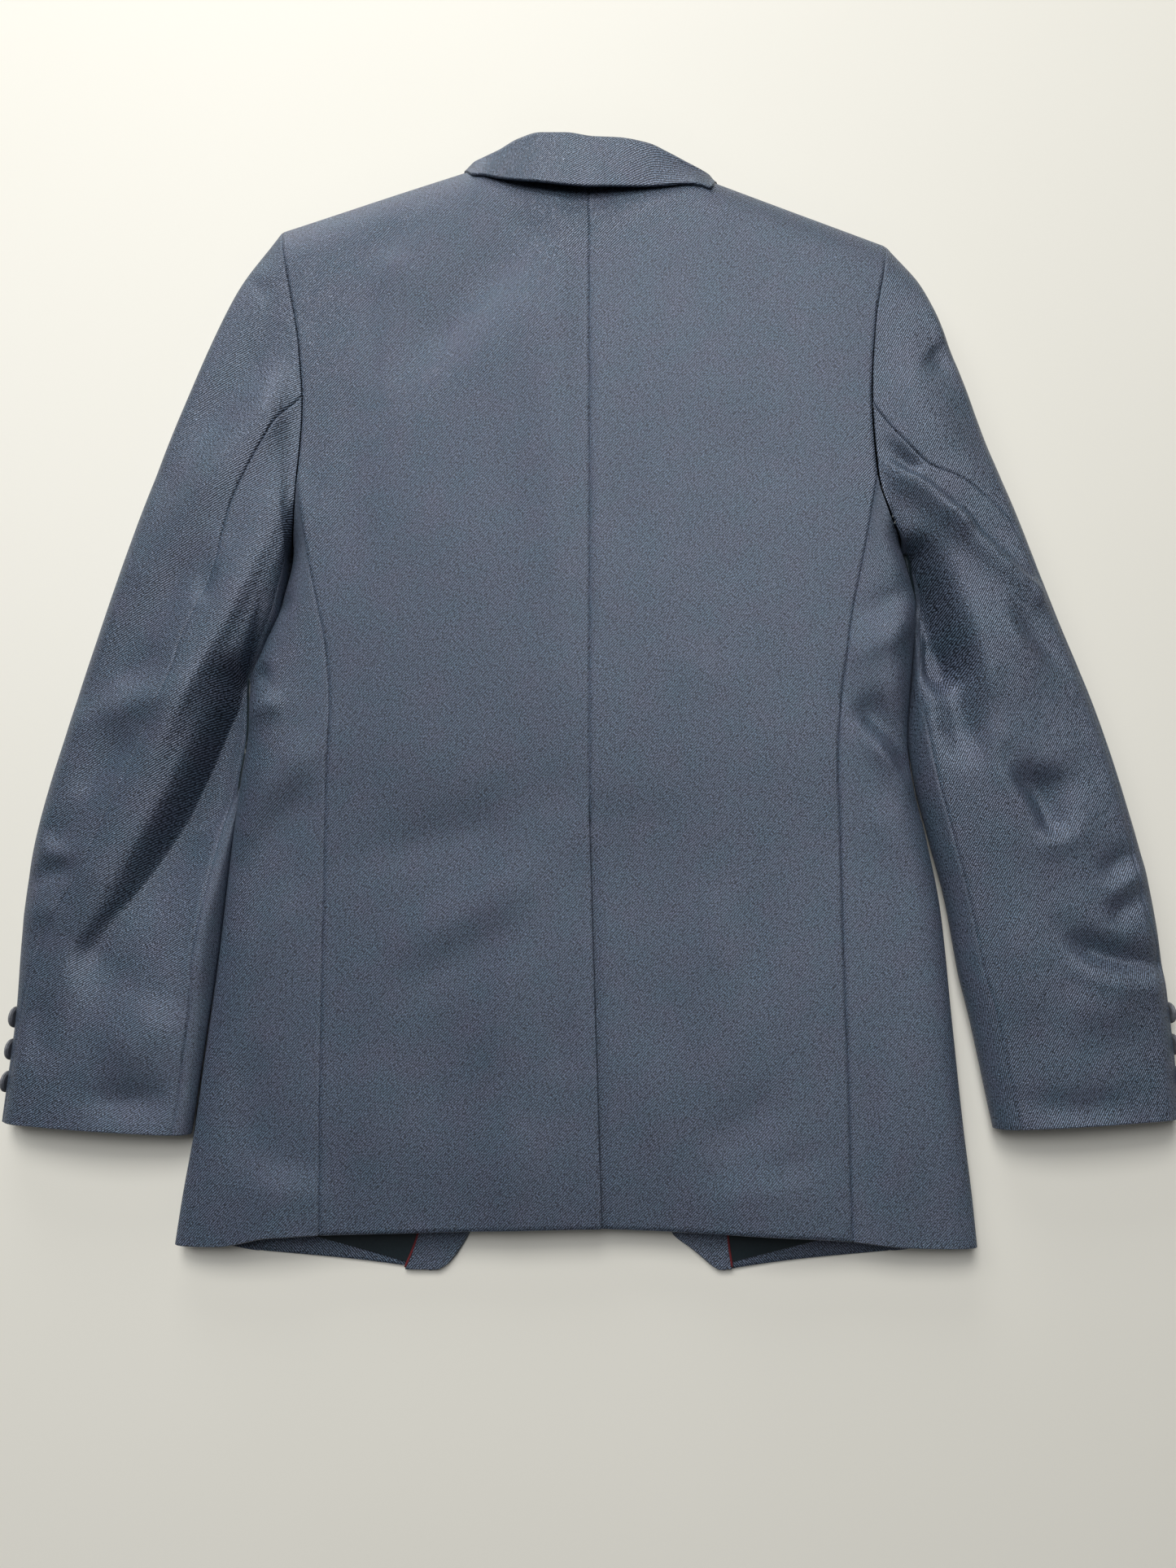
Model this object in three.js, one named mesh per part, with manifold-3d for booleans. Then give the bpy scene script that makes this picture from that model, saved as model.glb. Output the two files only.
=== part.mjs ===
// A men's single-breasted blazer laid face down, back uppermost, in millimetres.
// +X points to the wearer's right, +Y towards the collar and +Z up; the blazer lies on the plane z = 0.
// The origin is on that plane, on the centre line, midway between the two front buttons.
import * as THREE from 'three';
import Module from 'manifold-3d';

// ---- Driving sizes ----
const CLOTH = 2; // the wool with its interlining
const FACING = 1.5;
const LINING = 1;
const SEAM = 0.4; // gap between two pieces
const LAYER = CLOTH + SEAM; // rise from one layer of cloth to the next
const INNER_LAYER = CLOTH + 0.8; // the same inside the body, where layers lie more loosely
const ARMHOLE_GAP = 0.4; // between the sleeve's head and the armhole
const UNDER_GAP = 0.9; // half the gap at the hidden seam of side panel and front
const FOLD_MID = 11; // height of the outermost line of a side fold
const SHOULDER_MID = 13; // height of the shoulder seam
const NECK_SEAM = { height: 25, centreY: 477 };
const SIDE_ROLL = 24; // width over which the back rolls into the side fold
const UNDER_ROLL = 18; // the same on the underside
const SHOULDER_ROLL = 36;
const SLEEVE_ROLL = 15;
const LEAST_TOP = 5.5; // lowest height of an upper layer, clear of the layer under it
const ROLL_LINE = { x: -18, y: 85 }; // where the lapels break, 18 past the centre line
const VENT = { top: -8, underlap: 38, slant: 7, ramp: 34 };
const BUTTON = { radius: 7.5, thickness: 3, hole: 0.9, pitch: 1.9 };
const FRONT_BUTTON = { radius: 10, thickness: 3, hole: 1, pitch: 2.2, lifted: 26, clear: 42 };
const FRONT_BUTTON_LEVELS = [-54, 54];
// Levels of the fronts' rows between hem and shoulder, closer together over the buttons.
const FRONT_ROWS = [
  -317, -311, -303, -290, -245, -200, -150, -105, -80, -66, -42, -28, -12, 12, 28, 42, 66, 80, 108, 150, 200, 250,
  300, 350, 400, 440,
];

// ---- Sections of each side, as distances out from the centre line ----
// fold: the side fold of the body. seam: the side seam of the back panel. armhole: its back and front edges.
// edge: the front edge, from the hem's rounded corner up to the lapel's break. shoulder and neck: the ends of
// the shoulder seam. sleeve: out is the outer fold, inY and clear place the inner fold beside the body's fold;
// crown is the height; elbow and forearm are the two seams, as shares of the width from the outer fold.
const SIDES = {
  left: {
    sign: -1,
    shoulder: { x: 230, y: 442 },
    neck: { x: 86, y: 491 },
    fold: [
      { y: -304, x: 292 }, { y: -266, x: 287 }, { y: -221, x: 280 }, { y: -170, x: 274 }, { y: -101, x: 266 },
      { y: -25, x: 259 }, { y: 28, x: 253 }, { y: 69, x: 248 }, { y: 99, x: 248 }, { y: 122, x: 240 },
      { y: 150, x: 229 }, { y: 196, x: 218 }, { y: 245, x: 234 },
    ],
    seam: [
      { y: -304, x: 188 }, { y: -169, x: 190 }, { y: 3, x: 189 }, { y: 85, x: 186 }, { y: 120, x: 189 },
      { y: 178, x: 201 }, { y: 243, x: 211.5 },
    ],
    armhole: [
      { y: 200, back: 218, front: 218 }, { y: 218, back: 214, front: 211 }, { y: 243, back: 211.5, front: 205 },
      { y: 297, back: 208, front: 198 }, { y: 340, back: 211, front: 200 }, { y: 392, back: 220, front: 211 },
      { y: 442, back: 230, front: 230 },
    ],
    edge: [
      { y: -320, x: 118 }, { y: -317, x: 101 }, { y: -311, x: 90 }, { y: -305, x: 83 }, { y: -295, x: 76 },
      { y: -250, x: 57 }, { y: -200, x: 37 }, { y: -150, x: 15 }, { y: -100, x: -8 }, { y: -54, x: -18 },
    ],
    facing: [{ y: -320, x: 131 }, { y: -297, x: 122 }, { y: -250, x: 112 }, { y: -190, x: 103 }],
    sleeve: [
      { t: 0, outX: 230, outY: 442, inY: 200, clear: 0.5, crown: 38, elbow: 0.57, forearm: 0.93 },
      { t: 0.08, outX: 261, outY: 396, inY: 188, clear: 6, crown: 41, elbow: 0.58, forearm: 0.93 },
      { t: 0.22, outX: 299, outY: 308, inY: 168, clear: 6, crown: 42, elbow: 0.64, forearm: 0.93 },
      { t: 0.35, outX: 330, outY: 223, inY: 140, clear: 4, crown: 41, elbow: 0.65, forearm: 0.94 },
      { t: 0.46, outX: 354, outY: 148, inY: 104, clear: 2.5, crown: 39, elbow: 0.62, forearm: 0.95 },
      { t: 0.58, outX: 376, outY: 75, inY: 50, clear: 1.5, crown: 36, elbow: 0.59, forearm: 0.95 },
      { t: 0.74, outX: 402, outY: -31, inY: -50, clear: 1.5, crown: 32, elbow: 0.33, forearm: 0.92 },
      { t: 0.82, outX: 407, outY: -86, inY: -100, clear: 1.5, crown: 28, elbow: 0.13, forearm: 0.89 },
      { t: 0.89, outX: 409, outY: -136, inY: -150, clear: 2, crown: 26, elbow: 0.05, forearm: 0.91 },
      { t: 1, outX: 416, outY: -214, inY: -223, clear: 2.5, crown: 26, elbow: 0.02, forearm: 0.9 },
    ],
  },
  right: {
    sign: 1,
    shoulder: { x: 222, y: 431 },
    neck: { x: 90, y: 482 },
    fold: [
      { y: -304, x: 273 }, { y: -266, x: 270 }, { y: -216, x: 265 }, { y: -142, x: 259 }, { y: -67, x: 253 },
      { y: -15, x: 244 }, { y: 26, x: 235 }, { y: 57, x: 232 }, { y: 120, x: 237 }, { y: 155, x: 240 },
      { y: 188, x: 233 }, { y: 204, x: 229 }, { y: 250, x: 242 },
    ],
    seam: [
      { y: -304, x: 184 }, { y: -197, x: 183 }, { y: -112, x: 181 }, { y: -26, x: 180 }, { y: 44, x: 178 },
      { y: 85, x: 181 }, { y: 134, x: 187 }, { y: 200, x: 200 }, { y: 248, x: 208.5 },
    ],
    armhole: [
      { y: 204, back: 228, front: 228 }, { y: 221, back: 217, front: 219 }, { y: 248, back: 208.5, front: 208 },
      { y: 303, back: 205, front: 195 }, { y: 361, back: 209, front: 200 }, { y: 400, back: 216, front: 211 },
      { y: 431, back: 222, front: 222 },
    ],
    edge: [
      { y: -320, x: 92 }, { y: -317, x: 81 }, { y: -311, x: 74 }, { y: -305, x: 68 }, { y: -295, x: 60 },
      { y: -250, x: 43 }, { y: -200, x: 26 }, { y: -150, x: 8 }, { y: -100, x: -9 }, { y: -54, x: -18 },
    ],
    facing: [{ y: -320, x: 101 }, { y: -297, x: 98 }, { y: -250, x: 95 }, { y: -190, x: 93 }],
    sleeve: [
      { t: 0, outX: 222, outY: 431, inY: 204, clear: 0.5, crown: 38, elbow: 0.57, forearm: 0.93 },
      { t: 0.06, outX: 248, outY: 398, inY: 196, clear: 6, crown: 41, elbow: 0.58, forearm: 0.93 },
      { t: 0.14, outX: 269, outY: 347, inY: 186, clear: 10, crown: 42, elbow: 0.55, forearm: 0.93 },
      { t: 0.26, outX: 296, outY: 271, inY: 160, clear: 13, crown: 41, elbow: 0.3, forearm: 0.92 },
      { t: 0.34, outX: 315, outY: 222, inY: 134, clear: 14, crown: 40, elbow: 0.12, forearm: 0.92 },
      { t: 0.46, outX: 342, outY: 148, inY: 95, clear: 7, crown: 38, elbow: 0.05, forearm: 0.93 },
      { t: 0.57, outX: 369, outY: 76, inY: 52, clear: 3, crown: 36, elbow: 0.04, forearm: 0.89 },
      { t: 0.68, outX: 390, outY: 4, inY: -8, clear: 3, crown: 34, elbow: 0.05, forearm: 0.88 },
      { t: 0.76, outX: 402, outY: -45, inY: -52, clear: 5, crown: 31, elbow: 0.08, forearm: 0.9 },
      { t: 0.84, outX: 410, outY: -101, inY: -105, clear: 8, crown: 29, elbow: 0.03, forearm: 0.89 },
      { t: 0.9, outX: 414, outY: -140, inY: -142, clear: 13, crown: 28, elbow: 0.03, forearm: 0.9 },
      { t: 1, outX: 419, outY: -211, inY: -219, clear: 21, crown: 27, elbow: 0.02, forearm: 0.91 },
    ],
  },
};

// Height of the back above the surface, at the centre line and at the side seams or armholes.
const HEIGHTS = [
  { y: -304, crown: 17, side: 19 }, { y: -240, crown: 20, side: 20 }, { y: -101, crown: 23, side: 21 },
  { y: 0, crown: 24, side: 22 }, { y: 85, crown: 27, side: 25 }, { y: 160, crown: 34, side: 32 },
  { y: 240, crown: 41, side: 38 }, { y: 330, crown: 44, side: 40 }, { y: 490, crown: 41, side: 37 },
];
// The back's hem line, and how far the side panel wraps under at each level.
const HEM = [
  { x: -292, y: -299 }, { x: -222, y: -292 }, { x: -139, y: -290 }, { x: 6, y: -287 }, { x: 122, y: -291 },
  { x: 179, y: -295 }, { x: 225, y: -300 }, { x: 273, y: -301 },
];
const WRAP = [{ y: -304, x: 60 }, { y: 0, x: 55 }, { y: 100, x: 42 }, { y: 200, x: 30 }];
const FRONT_HEM = [{ a: 0, y: -306 }, { a: 0.5, y: -312 }, { a: 1, y: -320 }]; // a runs from side to corner
// Width of the lapel and collar turned back beyond the roll line.
const TURNED = [
  { y: 85, x: 2 }, { y: 150, x: 32 }, { y: 250, x: 64 }, { y: 330, x: 83 }, { y: 374, x: 92 }, { y: 400, x: 60 },
  { y: 486, x: 50 },
];
const INSIDE_TOP = -200; // how far up inside the hem the facing and lining are made
const GORGE = { inner: 406, outer: 374, collarWidth: 46, endWidth: 14 };

// The collar at the back of the neck, from left to right: fold is its upper fold line, edge the fall's lower
// edge and over the height of the fall.
const COLLAR = [
  { x: -89, fold: 495, edge: 487, over: 25 },
  { x: -80, fold: 498, edge: 485, over: 31 },
  { x: -63, fold: 505, edge: 478, over: 35 },
  { x: -40, fold: 512, edge: 470, over: 37 },
  { x: 0, fold: 511, edge: 465.5, over: 38 },
  { x: 40, fold: 505, edge: 467, over: 37 },
  { x: 66, fold: 495, edge: 471, over: 34 },
  { x: 84, fold: 488, edge: 476, over: 30 },
  { x: 93, fold: 485, edge: 477, over: 25 },
];

// The largest folds, as soft ridges (height above 0) and troughs along a line from a to b.
const BODY_FOLDS = [
  { ax: -1, ay: 470, bx: -1, by: 120, width: 9, height: -2 },
  { ax: 16, ay: 330, bx: 14, by: 140, width: 15, height: 1.5 },
  { ax: -118, ay: 440, bx: -150, by: 380, width: 20, height: 2.5 },
  { ax: -60, ay: 440, bx: -125, by: 350, width: 22, height: -2.5 },
  { ax: -175, ay: -70, bx: -30, by: -22, width: 20, height: 2.2 },
  { ax: -170, ay: -45, bx: -40, by: 4, width: 18, height: -2 },
  { ax: 196, ay: 155, bx: 232, by: 128, width: 13, height: 5 },
  { ax: 196, ay: 90, bx: 232, by: 44, width: 15, height: -8 },
  { ax: -196, ay: 78, bx: -240, by: 88, width: 13, height: 4 },
  { ax: -222, ay: -300, bx: -222, by: -262, width: 34, height: 5 },
  { ax: 128, ay: -300, bx: 128, by: -262, width: 40, height: 4 },
];
const SLEEVE_FOLDS = {
  left: [
    { ax: -264, ay: 84, bx: -334, by: -100, width: 15, height: -27 },
    { ax: -262, ay: 30, bx: -300, by: -70, width: 13, height: -12 },
    { ax: -290, ay: 60, bx: -330, by: -40, width: 12, height: 5 },
    { ax: -236, ay: 370, bx: -224, by: 366, width: 12, height: -5 },
    { ax: -285, ay: 290, bx: -240, by: 335, width: 20, height: -6 },
    { ax: -340, ay: 70, bx: -300, by: 100, width: 16, height: 5 },
    { ax: -385, ay: -20, bx: -350, by: 5, width: 14, height: -4 },
    { ax: -340, ay: -160, bx: -300, by: -140, width: 26, height: 5 },
  ],
  right: [
    { ax: 246, ay: 244, bx: 314, by: 178, width: 9, height: 6 },
    { ax: 250, ay: 290, bx: 290, by: 240, width: 22, height: -7 },
    { ax: 252, ay: 168, bx: 256, by: 100, width: 13, height: -24 },
    { ax: 276, ay: 110, bx: 322, by: 10, width: 14, height: 5 },
    { ax: 322, ay: 48, bx: 350, by: 8, width: 15, height: -13 },
    { ax: 270, ay: 66, bx: 282, by: 30, width: 14, height: -8 },
    { ax: 350, ay: -86, bx: 392, by: -106, width: 11, height: -8 },
    { ax: 330, ay: -150, bx: 372, by: -130, width: 26, height: 4 },
  ],
};

// ---- Shapes of curves and surfaces ----
const mix = (a, b, share) => a + (b - a) * share;
const clamp = (value, low, high) => Math.min(Math.max(value, low), high);

function ease(from, to, value) {
  const share = clamp((value - from) / (to - from), 0, 1);
  return share * share * (3 - 2 * share);
}

// A smooth curve through one column of a table, which never overshoots its rows (monotone cubic).
function curve(rows, by, key) {
  const at = rows.map((row) => row[by]);
  const value = rows.map((row) => row[key]);
  const rise = at.slice(1).map((_, i) => (value[i + 1] - value[i]) / (at[i + 1] - at[i]));
  const slope = value.map((_, i) => {
    if (i === 0) return rise[0];
    if (i === rise.length) return rise[i - 1];
    return rise[i - 1] * rise[i] <= 0 ? 0 : 2 / (1 / rise[i - 1] + 1 / rise[i]);
  });
  return (where) => {
    const x = clamp(where, at[0], at[at.length - 1]);
    let i = 0;
    while (i < rise.length - 1 && x > at[i + 1]) i += 1;
    const step = at[i + 1] - at[i];
    const s = (x - at[i]) / step;
    const bend = s * (1 - s) * step;
    return mix(value[i], value[i + 1], s * s * (3 - 2 * s)) + bend * (slope[i] * (1 - s) - slope[i + 1] * s);
  };
}

// The share of full height reached at a distance in from a rolled edge: a quarter ellipse.
function roll(distance, width) {
  const left = 1 - clamp(distance / width, 0, 1);
  return Math.sqrt(1 - left * left);
}

// The sum of a list of folds at a point of the plan.
function foldsAt(folds, x, y) {
  return folds.reduce((sum, f) => {
    const alongX = f.bx - f.ax;
    const alongY = f.by - f.ay;
    const share = clamp(((x - f.ax) * alongX + (y - f.ay) * alongY) / (alongX ** 2 + alongY ** 2), 0, 1);
    const away = Math.hypot(x - f.ax - share * alongX, y - f.ay - share * alongY);
    return sum + f.height * Math.exp(-((away / f.width) ** 2));
  }, 0);
}

const evenly = (count) => Array.from({ length: count + 1 }, (_, i) => i / count);

// ---- A wall of cloth ----
// face(u, v) is the outer skin; the inner skin lies one thickness behind it, and the edges join the two.
// turn is 1 where u x v points out of the cloth, and -1 where it points in.
function wall(name, material, us, vs, thickness, turn, face) {
  const step = 1e-3;
  const columns = us.length;
  const rows = vs.length;
  const skins = [[], []];
  vs.forEach((v) => us.forEach((u) => {
    const point = new THREE.Vector3(...face(u, v));
    const alongU = new THREE.Vector3(...face(Math.min(u + step, 1), v))
      .sub(new THREE.Vector3(...face(Math.max(u - step, 0), v)));
    const alongV = new THREE.Vector3(...face(u, Math.min(v + step, 1)))
      .sub(new THREE.Vector3(...face(u, Math.max(v - step, 0))));
    const out = alongU.cross(alongV).normalize().multiplyScalar(turn);
    skins[0].push(point);
    skins[1].push(point.clone().addScaledVector(out, -thickness));
  }));
  const index = [];
  const quad = (a, b, c, d) => index.push(...(turn > 0 ? [a, b, c, a, c, d] : [a, c, b, a, d, c]));
  const at = (skin, i, j) => skin * rows * columns + j * columns + i;
  for (let j = 0; j < rows - 1; j += 1) {
    for (let i = 0; i < columns - 1; i += 1) {
      quad(at(0, i, j), at(0, i + 1, j), at(0, i + 1, j + 1), at(0, i, j + 1));
      quad(at(1, i, j), at(1, i, j + 1), at(1, i + 1, j + 1), at(1, i + 1, j));
    }
    quad(at(0, 0, j), at(0, 0, j + 1), at(1, 0, j + 1), at(1, 0, j));
    quad(at(0, columns - 1, j), at(1, columns - 1, j), at(1, columns - 1, j + 1), at(0, columns - 1, j + 1));
  }
  for (let i = 0; i < columns - 1; i += 1) {
    quad(at(0, i, 0), at(1, i, 0), at(1, i + 1, 0), at(0, i + 1, 0));
    quad(at(0, i, rows - 1), at(0, i + 1, rows - 1), at(1, i + 1, rows - 1), at(1, i, rows - 1));
  }
  const geometry = new THREE.BufferGeometry().setFromPoints(skins.flat());
  geometry.setIndex(index);
  geometry.computeVertexNormals();
  const mesh = new THREE.Mesh(geometry, material);
  mesh.name = name;
  return mesh;
}

// ---- The body ----
const crownHeight = curve(HEIGHTS, 'y', 'crown');
const sideHeight = curve(HEIGHTS, 'y', 'side');
const hemLine = curve(HEM, 'x', 'y');
const wrapUnder = curve(WRAP, 'y', 'x');
const frontHem = curve(FRONT_HEM, 'a', 'y');
const turnedWidth = curve(TURNED, 'y', 'x');

// The lines of one side of the body, as functions of the level y, in distances out from the centre line.
function bodyLines(side) {
  const fold = curve(side.fold, 'y', 'x');
  const seam = curve(side.seam, 'y', 'x');
  const back = curve(side.armhole, 'y', 'back');
  const front = curve(side.armhole, 'y', 'front');
  const seamTop = side.seam[side.seam.length - 1].y;
  const underarm = side.armhole[0];
  const { shoulder, neck } = side;
  const shoulderSlope = (neck.y - shoulder.y) / (shoulder.x - neck.x);
  const frontSeamTop = underarm.y + 40;
  const edgeCurve = curve(side.edge, 'y', 'x');
  return {
    sign: side.sign,
    fold,
    seam,
    underarm,
    seamTop,
    backEdge: (y) => (y < seamTop ? seam(y) : back(y)),
    frontSide: (y) => (y < frontSeamTop
      ? mix(fold(y) - wrapUnder(y), front(frontSeamTop), ease(underarm.y - 130, frontSeamTop, y))
      : front(y)),
    shoulderLine: (x) => (x > neck.x
      ? shoulder.y + (shoulder.x - x) * shoulderSlope
      : mix(NECK_SEAM.centreY, neck.y, (x / neck.x) ** 2)),
    // The armhole as a ring: k runs from the shoulder down the back to the underarm, and up the front.
    armhole: (k) => {
      const y = mix(underarm.y, shoulder.y, Math.abs(1 - 2 * k));
      return { x: k < 0.5 ? back(y) : front(y), y };
    },
    ringShare: (y, onBack) => {
      const half = (y - underarm.y) / (shoulder.y - underarm.y) / 2;
      return onBack ? 0.5 - half : 0.5 + half;
    },
    frontSeamTop,
    neck,
    shoulder,
    edge: (y) => (y < ROLL_LINE.y
      ? edgeCurve(y)
      : mix(ROLL_LINE.x, neck.x - 2, (y - ROLL_LINE.y) / (neck.y - ROLL_LINE.y))),
    shoulderSlant: Math.cos(Math.atan(shoulderSlope)),
    cornerGap: (y) => 1.6 * ease(shoulder.y - 24, shoulder.y, y), // the corner by the sleeve's head
  };
}

// Height of the back's top edge, along the neck seam and down to the shoulder seam.
function topEdgeHeight(lines, x) {
  return mix(NECK_SEAM.height, SHOULDER_MID, ease(lines.neck.x - 12, lines.neck.x + 6, x));
}

// Height of the back's outer face at a distance x out from the centre line.
function backHeight(lines, x, y) {
  const share = clamp(Math.abs(x) / lines.backEdge(y), 0, 1);
  const inside = mix(crownHeight(y), sideHeight(y), share ** 2.5) + foldsAt(BODY_FOLDS, lines.sign * x, y);
  const edge = topEdgeHeight(lines, Math.abs(x));
  const below = (lines.shoulderLine(Math.abs(x)) - y) * lines.shoulderSlant;
  return edge + (inside - edge) * roll(below, SHOULDER_ROLL);
}

// Height of the side panel's upper face.
function sideTopHeight(lines, x, y) {
  const full = sideHeight(y) + foldsAt(BODY_FOLDS, lines.sign * x, y);
  return FOLD_MID + (Math.max(full, LEAST_TOP + 8) - FOLD_MID) * roll(lines.fold(y) - x, SIDE_ROLL);
}

function backPanel(name, lines, material) {
  const isLeft = lines.sign < 0;
  // Below the vent's top the left panel lies on the right one, which runs on beneath it.
  const ventRow = 8 / 22;
  const down = (y) => VENT.top - y;
  const inner = (y) => (isLeft
    ? SEAM / 2 - VENT.slant * clamp(down(y) / (VENT.top - HEM[0].y), 0, 1)
    : SEAM / 2 - VENT.underlap * ease(0, VENT.ramp, down(y)));
  const shift = (x, y) => {
    const lapped = (isLeft ? 1 : -1) * (LAYER / 2 + 0.2) * ease(-VENT.ramp, -2, down(y));
    return lapped * (1 - ease(VENT.underlap + 10, VENT.underlap + 50, x));
  };
  return wall(name, material, evenly(12), evenly(22), CLOTH, lines.sign, (u, v) => {
    const x0 = u * lines.seam(HEM[0].y);
    const top = lines.shoulderLine(u * lines.shoulder.x);
    const y = v < ventRow
      ? mix(hemLine(lines.sign * x0), VENT.top, v / ventRow)
      : mix(VENT.top, top, (v - ventRow) / (1 - ventRow));
    const x = mix(inner(y), lines.backEdge(y) - SEAM / 2 - lines.cornerGap(y), u);
    return [lines.sign * x, y, backHeight(lines, x, y) + shift(x, y)];
  });
}

// The side panel runs from the side seam over the side fold to its seam with the front, on the underside.
function sidePanel(name, lines, material) {
  const first = lines.ringShare(lines.seamTop, true);
  const last = lines.ringShare(lines.frontSeamTop, false);
  return wall(name, material, evenly(12), evenly(16), CLOTH, lines.sign, (u, v) => {
    const w = 2 * u - 1; // -1 at the side seam, 0 at the fold, 1 at the front seam
    const top = lines.armhole(w < 0 ? mix(0.5, first, -w) : mix(0.5, last, w));
    const level = top.y - SEAM - 0.3;
    const plain = (y) => (w < 0
      ? mix(lines.fold(y), lines.seam(y) + SEAM, w * w)
      : mix(lines.fold(y), lines.frontSide(y) + UNDER_GAP, w * w));
    const y = mix(hemLine(lines.sign * plain(HEM[0].y)) - 2 * Math.max(w, 0), level, v);
    const x = plain(y) + v ** 8 * (top.x - plain(level));
    const z = w < 0
      ? sideTopHeight(lines, x, y)
      : FOLD_MID * (1 - roll(lines.fold(y) - x, UNDER_ROLL));
    return [lines.sign * x, y, z];
  });
}

// ---- The fronts, lapels and collar ends, which lie on the surface ----
// How far a front is lifted by what is folded under it: its own lapel and collar, or a button.
function turnedLift(lines, x, y) {
  const beyond = x - lines.edge(y);
  const covered = 1 - ease(turnedWidth(y) + 22, turnedWidth(y) + 60, beyond);
  return INNER_LAYER * covered * ease(ROLL_LINE.y - 70, ROLL_LINE.y - 30, y);
}

function buttonLift(x, y) {
  const nearest = Math.min(...FRONT_BUTTON_LEVELS.map((level) => Math.hypot(x, y - level)));
  return (FRONT_BUTTON.thickness + SEAM) * (1 - ease(FRONT_BUTTON.lifted, FRONT_BUTTON.clear, nearest));
}

const leftLines = bodyLines(SIDES.left);
const rightLines = bodyLines(SIDES.right);

const leftFrontLift = (out, y) => Math.max(turnedLift(leftLines, out, y), buttonLift(out, y));

// The right lapel and front lie on the left front where they cross it.
function overLeft(worldX, y) {
  const pastLeft = worldX + leftLines.edge(y);
  return (1 - ease(24, 64, pastLeft)) * (leftFrontLift(-worldX, y) + INNER_LAYER);
}

function frontLift(lines, out, y) {
  return lines.sign < 0 ? leftFrontLift(out, y) : overLeft(out, y) + turnedLift(lines, out, y);
}

function frontPanel(name, lines, material) {
  const columns = evenly(12).map((u) => 1 - (1 - u) ** 1.4);
  const [bottom, top] = [frontHem(1), lines.neck.y];
  const rows = [0, ...FRONT_ROWS.map((y) => (y - bottom) / (top - bottom)), 1];
  return wall(name, material, columns, rows, CLOTH, lines.sign, (u, v) => {
    const shoulderX = mix(lines.shoulder.x, lines.neck.x - 2, u);
    const level = mix(bottom, top, v);
    const y = level
      + (frontHem(u) - bottom) * (1 - ease(bottom, -245, level))
      + (lines.shoulderLine(shoulderX) - SEAM - top) * ease(250, top, level);
    const side = lines.frontSide(y) - UNDER_GAP - lines.cornerGap(y);
    const x = mix(side, lines.edge(y), u);
    const lift = frontLift(lines, x, y);
    const below = (lines.shoulderLine(Math.max(x, lines.neck.x)) - y) * lines.shoulderSlant;
    const seamHeight = SHOULDER_MID - SEAM;
    return [lines.sign * x, y, seamHeight - (seamHeight - lift) * roll(below, UNDER_ROLL)];
  });
}

function lapel(name, lines, material) {
  return wall(name, material, evenly(6), evenly(10), CLOTH, lines.sign, (u, v) => {
    const y = mix(ROLL_LINE.y + 23, mix(GORGE.outer, GORGE.inner, u), v);
    const x = lines.edge(y) + mix(turnedWidth(y), 0, u);
    return [lines.sign * x, y, lines.sign < 0 ? 0 : overLeft(x, y)];
  });
}

// The front end of the collar runs from the gorge seam to the shoulder line, and turns up round it.
function collarEnd(name, lines, material) {
  const turnUp = 0.5; // share of the length that lies flat
  return wall(name, material, evenly(4), evenly(10), CLOTH, lines.sign, (u, v) => {
    const width = mix(GORGE.collarWidth, GORGE.endWidth, ease(0.1, turnUp + 0.2, v));
    const slant = (GORGE.inner - GORGE.outer) * (GORGE.collarWidth / 92);
    const flatY = mix(GORGE.inner + 1 - slant * (1 - u), lines.neck.y - 24, clamp(v / turnUp, 0, 1));
    const x = lines.edge(Math.min(flatY, lines.neck.y - 24)) + mix(width, 0, u);
    if (v <= turnUp) return [lines.sign * x, flatY, 0];
    const angle = (Math.PI / 2) * ((v - turnUp) / (1 - turnUp)) * 0.9;
    const reach = lines.shoulderLine(Math.max(x, lines.neck.x)) + INNER_LAYER - (lines.neck.y - 24);
    return [lines.sign * x, lines.neck.y - 24 + reach * Math.sin(angle), 9 * (1 - Math.cos(angle))];
  });
}

// What shows inside the fronts at the hem: the facing along the front edge, and the lining beyond it.
function facingPanel(name, side, lines, material) {
  const inner = curve(side.facing, 'y', 'x');
  return wall(name, material, evenly(5), [0, 0.02, 0.06, 0.13, 0.4, 1], FACING, lines.sign, (u, v) => {
    const y = mix(frontHem(1) + 1.5 - u * 0.5, INSIDE_TOP, v);
    const x = mix(inner(y) - SEAM / 2, lines.edge(y) + 1, u);
    return [lines.sign * x, y, frontLift(lines, x, y) + CLOTH + SEAM];
  });
}

function liningPanel(name, side, lines, material) {
  const inner = curve(side.facing, 'y', 'x');
  return wall(name, material, evenly(6), evenly(3), LINING, lines.sign, (u, v) => {
    const hem = mix(frontHem(0) + 17, frontHem(0.8) + 3, u);
    const y = mix(hem, INSIDE_TOP, v);
    const x = mix(lines.frontSide(y) - 8, inner(y) + SEAM / 2 + 0.4, u);
    return [lines.sign * x, y, CLOTH + SEAM];
  });
}

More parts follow.
